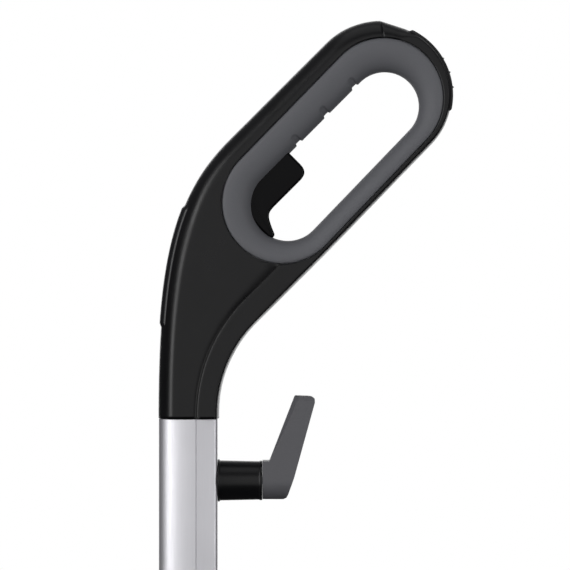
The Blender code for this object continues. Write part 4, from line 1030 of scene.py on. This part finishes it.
WORLD_LOW, WORLD_HIGH = (0.035, 0.035, 0.037), (0.22, 0.22, 0.23)
FLOOR_RADIUS = 3.8
LIGHT_AIM = (0, 0.02, 0.95)
CAMERA_DISTANCE, CAMERA_LENS = 2.565, 270
SOFTBOXES = (  # name, place, aim where it isn't the handle, size, watts
    ("front_softbox", (2.0, -0.35, 1.0), None, (2.4, 2.0), 12),
    ("left_softbox", (1.0, -1.3, 1.2), None, (0.6, 1.7), 16),
    ("right_softbox", (1.0, 1.45, 0.95), None, (0.8, 1.6), 11),
    ("overhead", (0.3, -0.1, 2.5), (0, 0, 1), (1.6, 1.6), 4),
    ("behind", (-1.7, 0.2, 1.5), (0, 0, 0.9), (1.6, 1.6), 3),
    ("back_softbox", (-2.2, 0.0, 1.0), None, (1.8, 2.0), 16),
)


def light(name, at, aim, size, power):
    data = bpy.data.lights.new(name, "AREA")
    data.shape = "RECTANGLE"
    data.size, data.size_y = size
    data.energy = power
    made = bpy.data.objects.new(name, data)
    made.location = at
    made.rotation_euler = (Vector(aim) - Vector(at)).to_track_quat("-Z", "Y").to_euler()
    made.visible_camera = False
    bpy.context.scene.collection.objects.link(made)
    return made


def light_floor(floor, softboxes):
    """The softboxes leave the floor alone. It has a wide soft light of its own, so it stays evenly pale."""
    apart = bpy.data.collections.new("all_but_the_floor")
    apart.objects.link(floor)
    apart.collection_objects[0].light_linking.link_state = "EXCLUDE"
    for made in softboxes:
        made.light_linking.receiver_collection = apart
    alone = bpy.data.collections.new("floor_alone")
    alone.objects.link(floor)
    data = bpy.data.lights.new("floor_light", "SUN")
    data.energy = 2.2
    data.angle = math.radians(100)
    made = bpy.data.objects.new("floor_light", data)
    made.location = (0, 0, 3)
    made.light_linking.receiver_collection = alone
    bpy.context.scene.collection.objects.link(made)


def add_world():
    """White behind the picture, and a dim grey sky for the light, paler above than below."""
    world = bpy.data.worlds.new("studio")
    world.use_nodes = True
    tree = world.node_tree
    for old in list(tree.nodes):
        tree.nodes.remove(old)
    seen = node(tree, "ShaderNodeBackground", Color=(1, 1, 1, 1), Strength=1.0)
    lit = node(tree, "ShaderNodeBackground", Strength=1.0)
    where = node(tree, "ShaderNodeTexCoord")
    split = node(tree, "ShaderNodeSeparateXYZ")
    tree.links.new(where.outputs["Generated"], split.inputs[0])
    height = ramp(tree, split.outputs["Z"], 0, 1, -0.1, 0.95)
    tree.links.new(tinted(tree, height, WORLD_LOW, WORLD_HIGH), lit.inputs["Color"])
    path = node(tree, "ShaderNodeLightPath")
    mix = node(tree, "ShaderNodeMixShader")
    out = node(tree, "ShaderNodeOutputWorld")
    tree.links.new(path.outputs["Is Camera Ray"], mix.inputs[0])
    tree.links.new(lit.outputs[0], mix.inputs[1])
    tree.links.new(seen.outputs[0], mix.inputs[2])
    tree.links.new(mix.outputs[0], out.inputs["Surface"])
    bpy.context.scene.world = world


def add_floor():
    """A pale disc just below the sole. It stays out of the reflections and throws no light back."""
    shape = bmesh.new()
    bmesh.ops.create_circle(shape, cap_ends=True, radius=FLOOR_RADIUS, segments=128)
    pale = moulded("pale_floor", (0.86, 0.86, 0.86), 0.7, grain=300, bump=0.05, vary=0.015)
    floor = as_object(shape, "floor")
    floor.data.materials.append(pale)
    floor.location = (0, 0, -0.2 * MM)
    floor.visible_glossy = False
    floor.visible_diffuse = False
    return floor


def add_camera():
    """A long lens square to the handle's side, so the handle looks nearly flat."""
    data = bpy.data.cameras.new("camera")
    data.lens = CAMERA_LENS
    data.sensor_width = 36
    data.clip_start = 0.05
    camera = bpy.data.objects.new("camera", data)
    target = Vector((0, POLE_Y + 58.1 * MM, NECK_Z + 79.8 * MM))
    camera.location = target + Vector((CAMERA_DISTANCE, 0, 0))
    camera.rotation_euler = (target - camera.location).to_track_quat("-Z", "Y").to_euler()
    bpy.context.scene.collection.objects.link(camera)
    bpy.context.scene.camera = camera


def studio():
    bpy.context.scene.view_settings.view_transform = "Standard"
    add_world()
    floor = add_floor()
    light_floor(floor, [light(name, at, aim or LIGHT_AIM, size, power)
                        for name, at, aim, size, power in SOFTBOXES])
    add_camera()


NODE_LOOKS = {
    "steel": STEEL, "black": BLACK, "grey": HOOK_GREY, "rubber": RUBBER, "aluminium": ALUMINIUM,
    "smoked": SMOKED, "motor": MOTOR_CAN, "bristle": BRISTLE,
}


def paint_nodes():
    """A procedural material on each CAD node that stays in view."""
    slots = {entry["node"]: entry["material_slot"] for entry in frame["record"]["subparts"]}
    for name, obj in frame["nodes"].items():
        obj.data.materials.clear()
        obj.data.materials.append(NODE_LOOKS[slots[name]])
        soften(obj, 0.3, 2, 45)


def build():
    studio()
    paint_nodes()
    handle_shells()
    grip_ring()
    trigger()
    neck_panel()
    wall_rest()
    tube("upper_pole", 506.5, 911.7, "upper_tube")
    tube("lower_pole", 152, 503.5, "lower_tube")
    hook()
    collar()
    lower_hook()
    gland()
    swivel_neck()
    trunnion()
    cover()
    bumper()
    dust_bin()
    brush()
    wheels()


build()
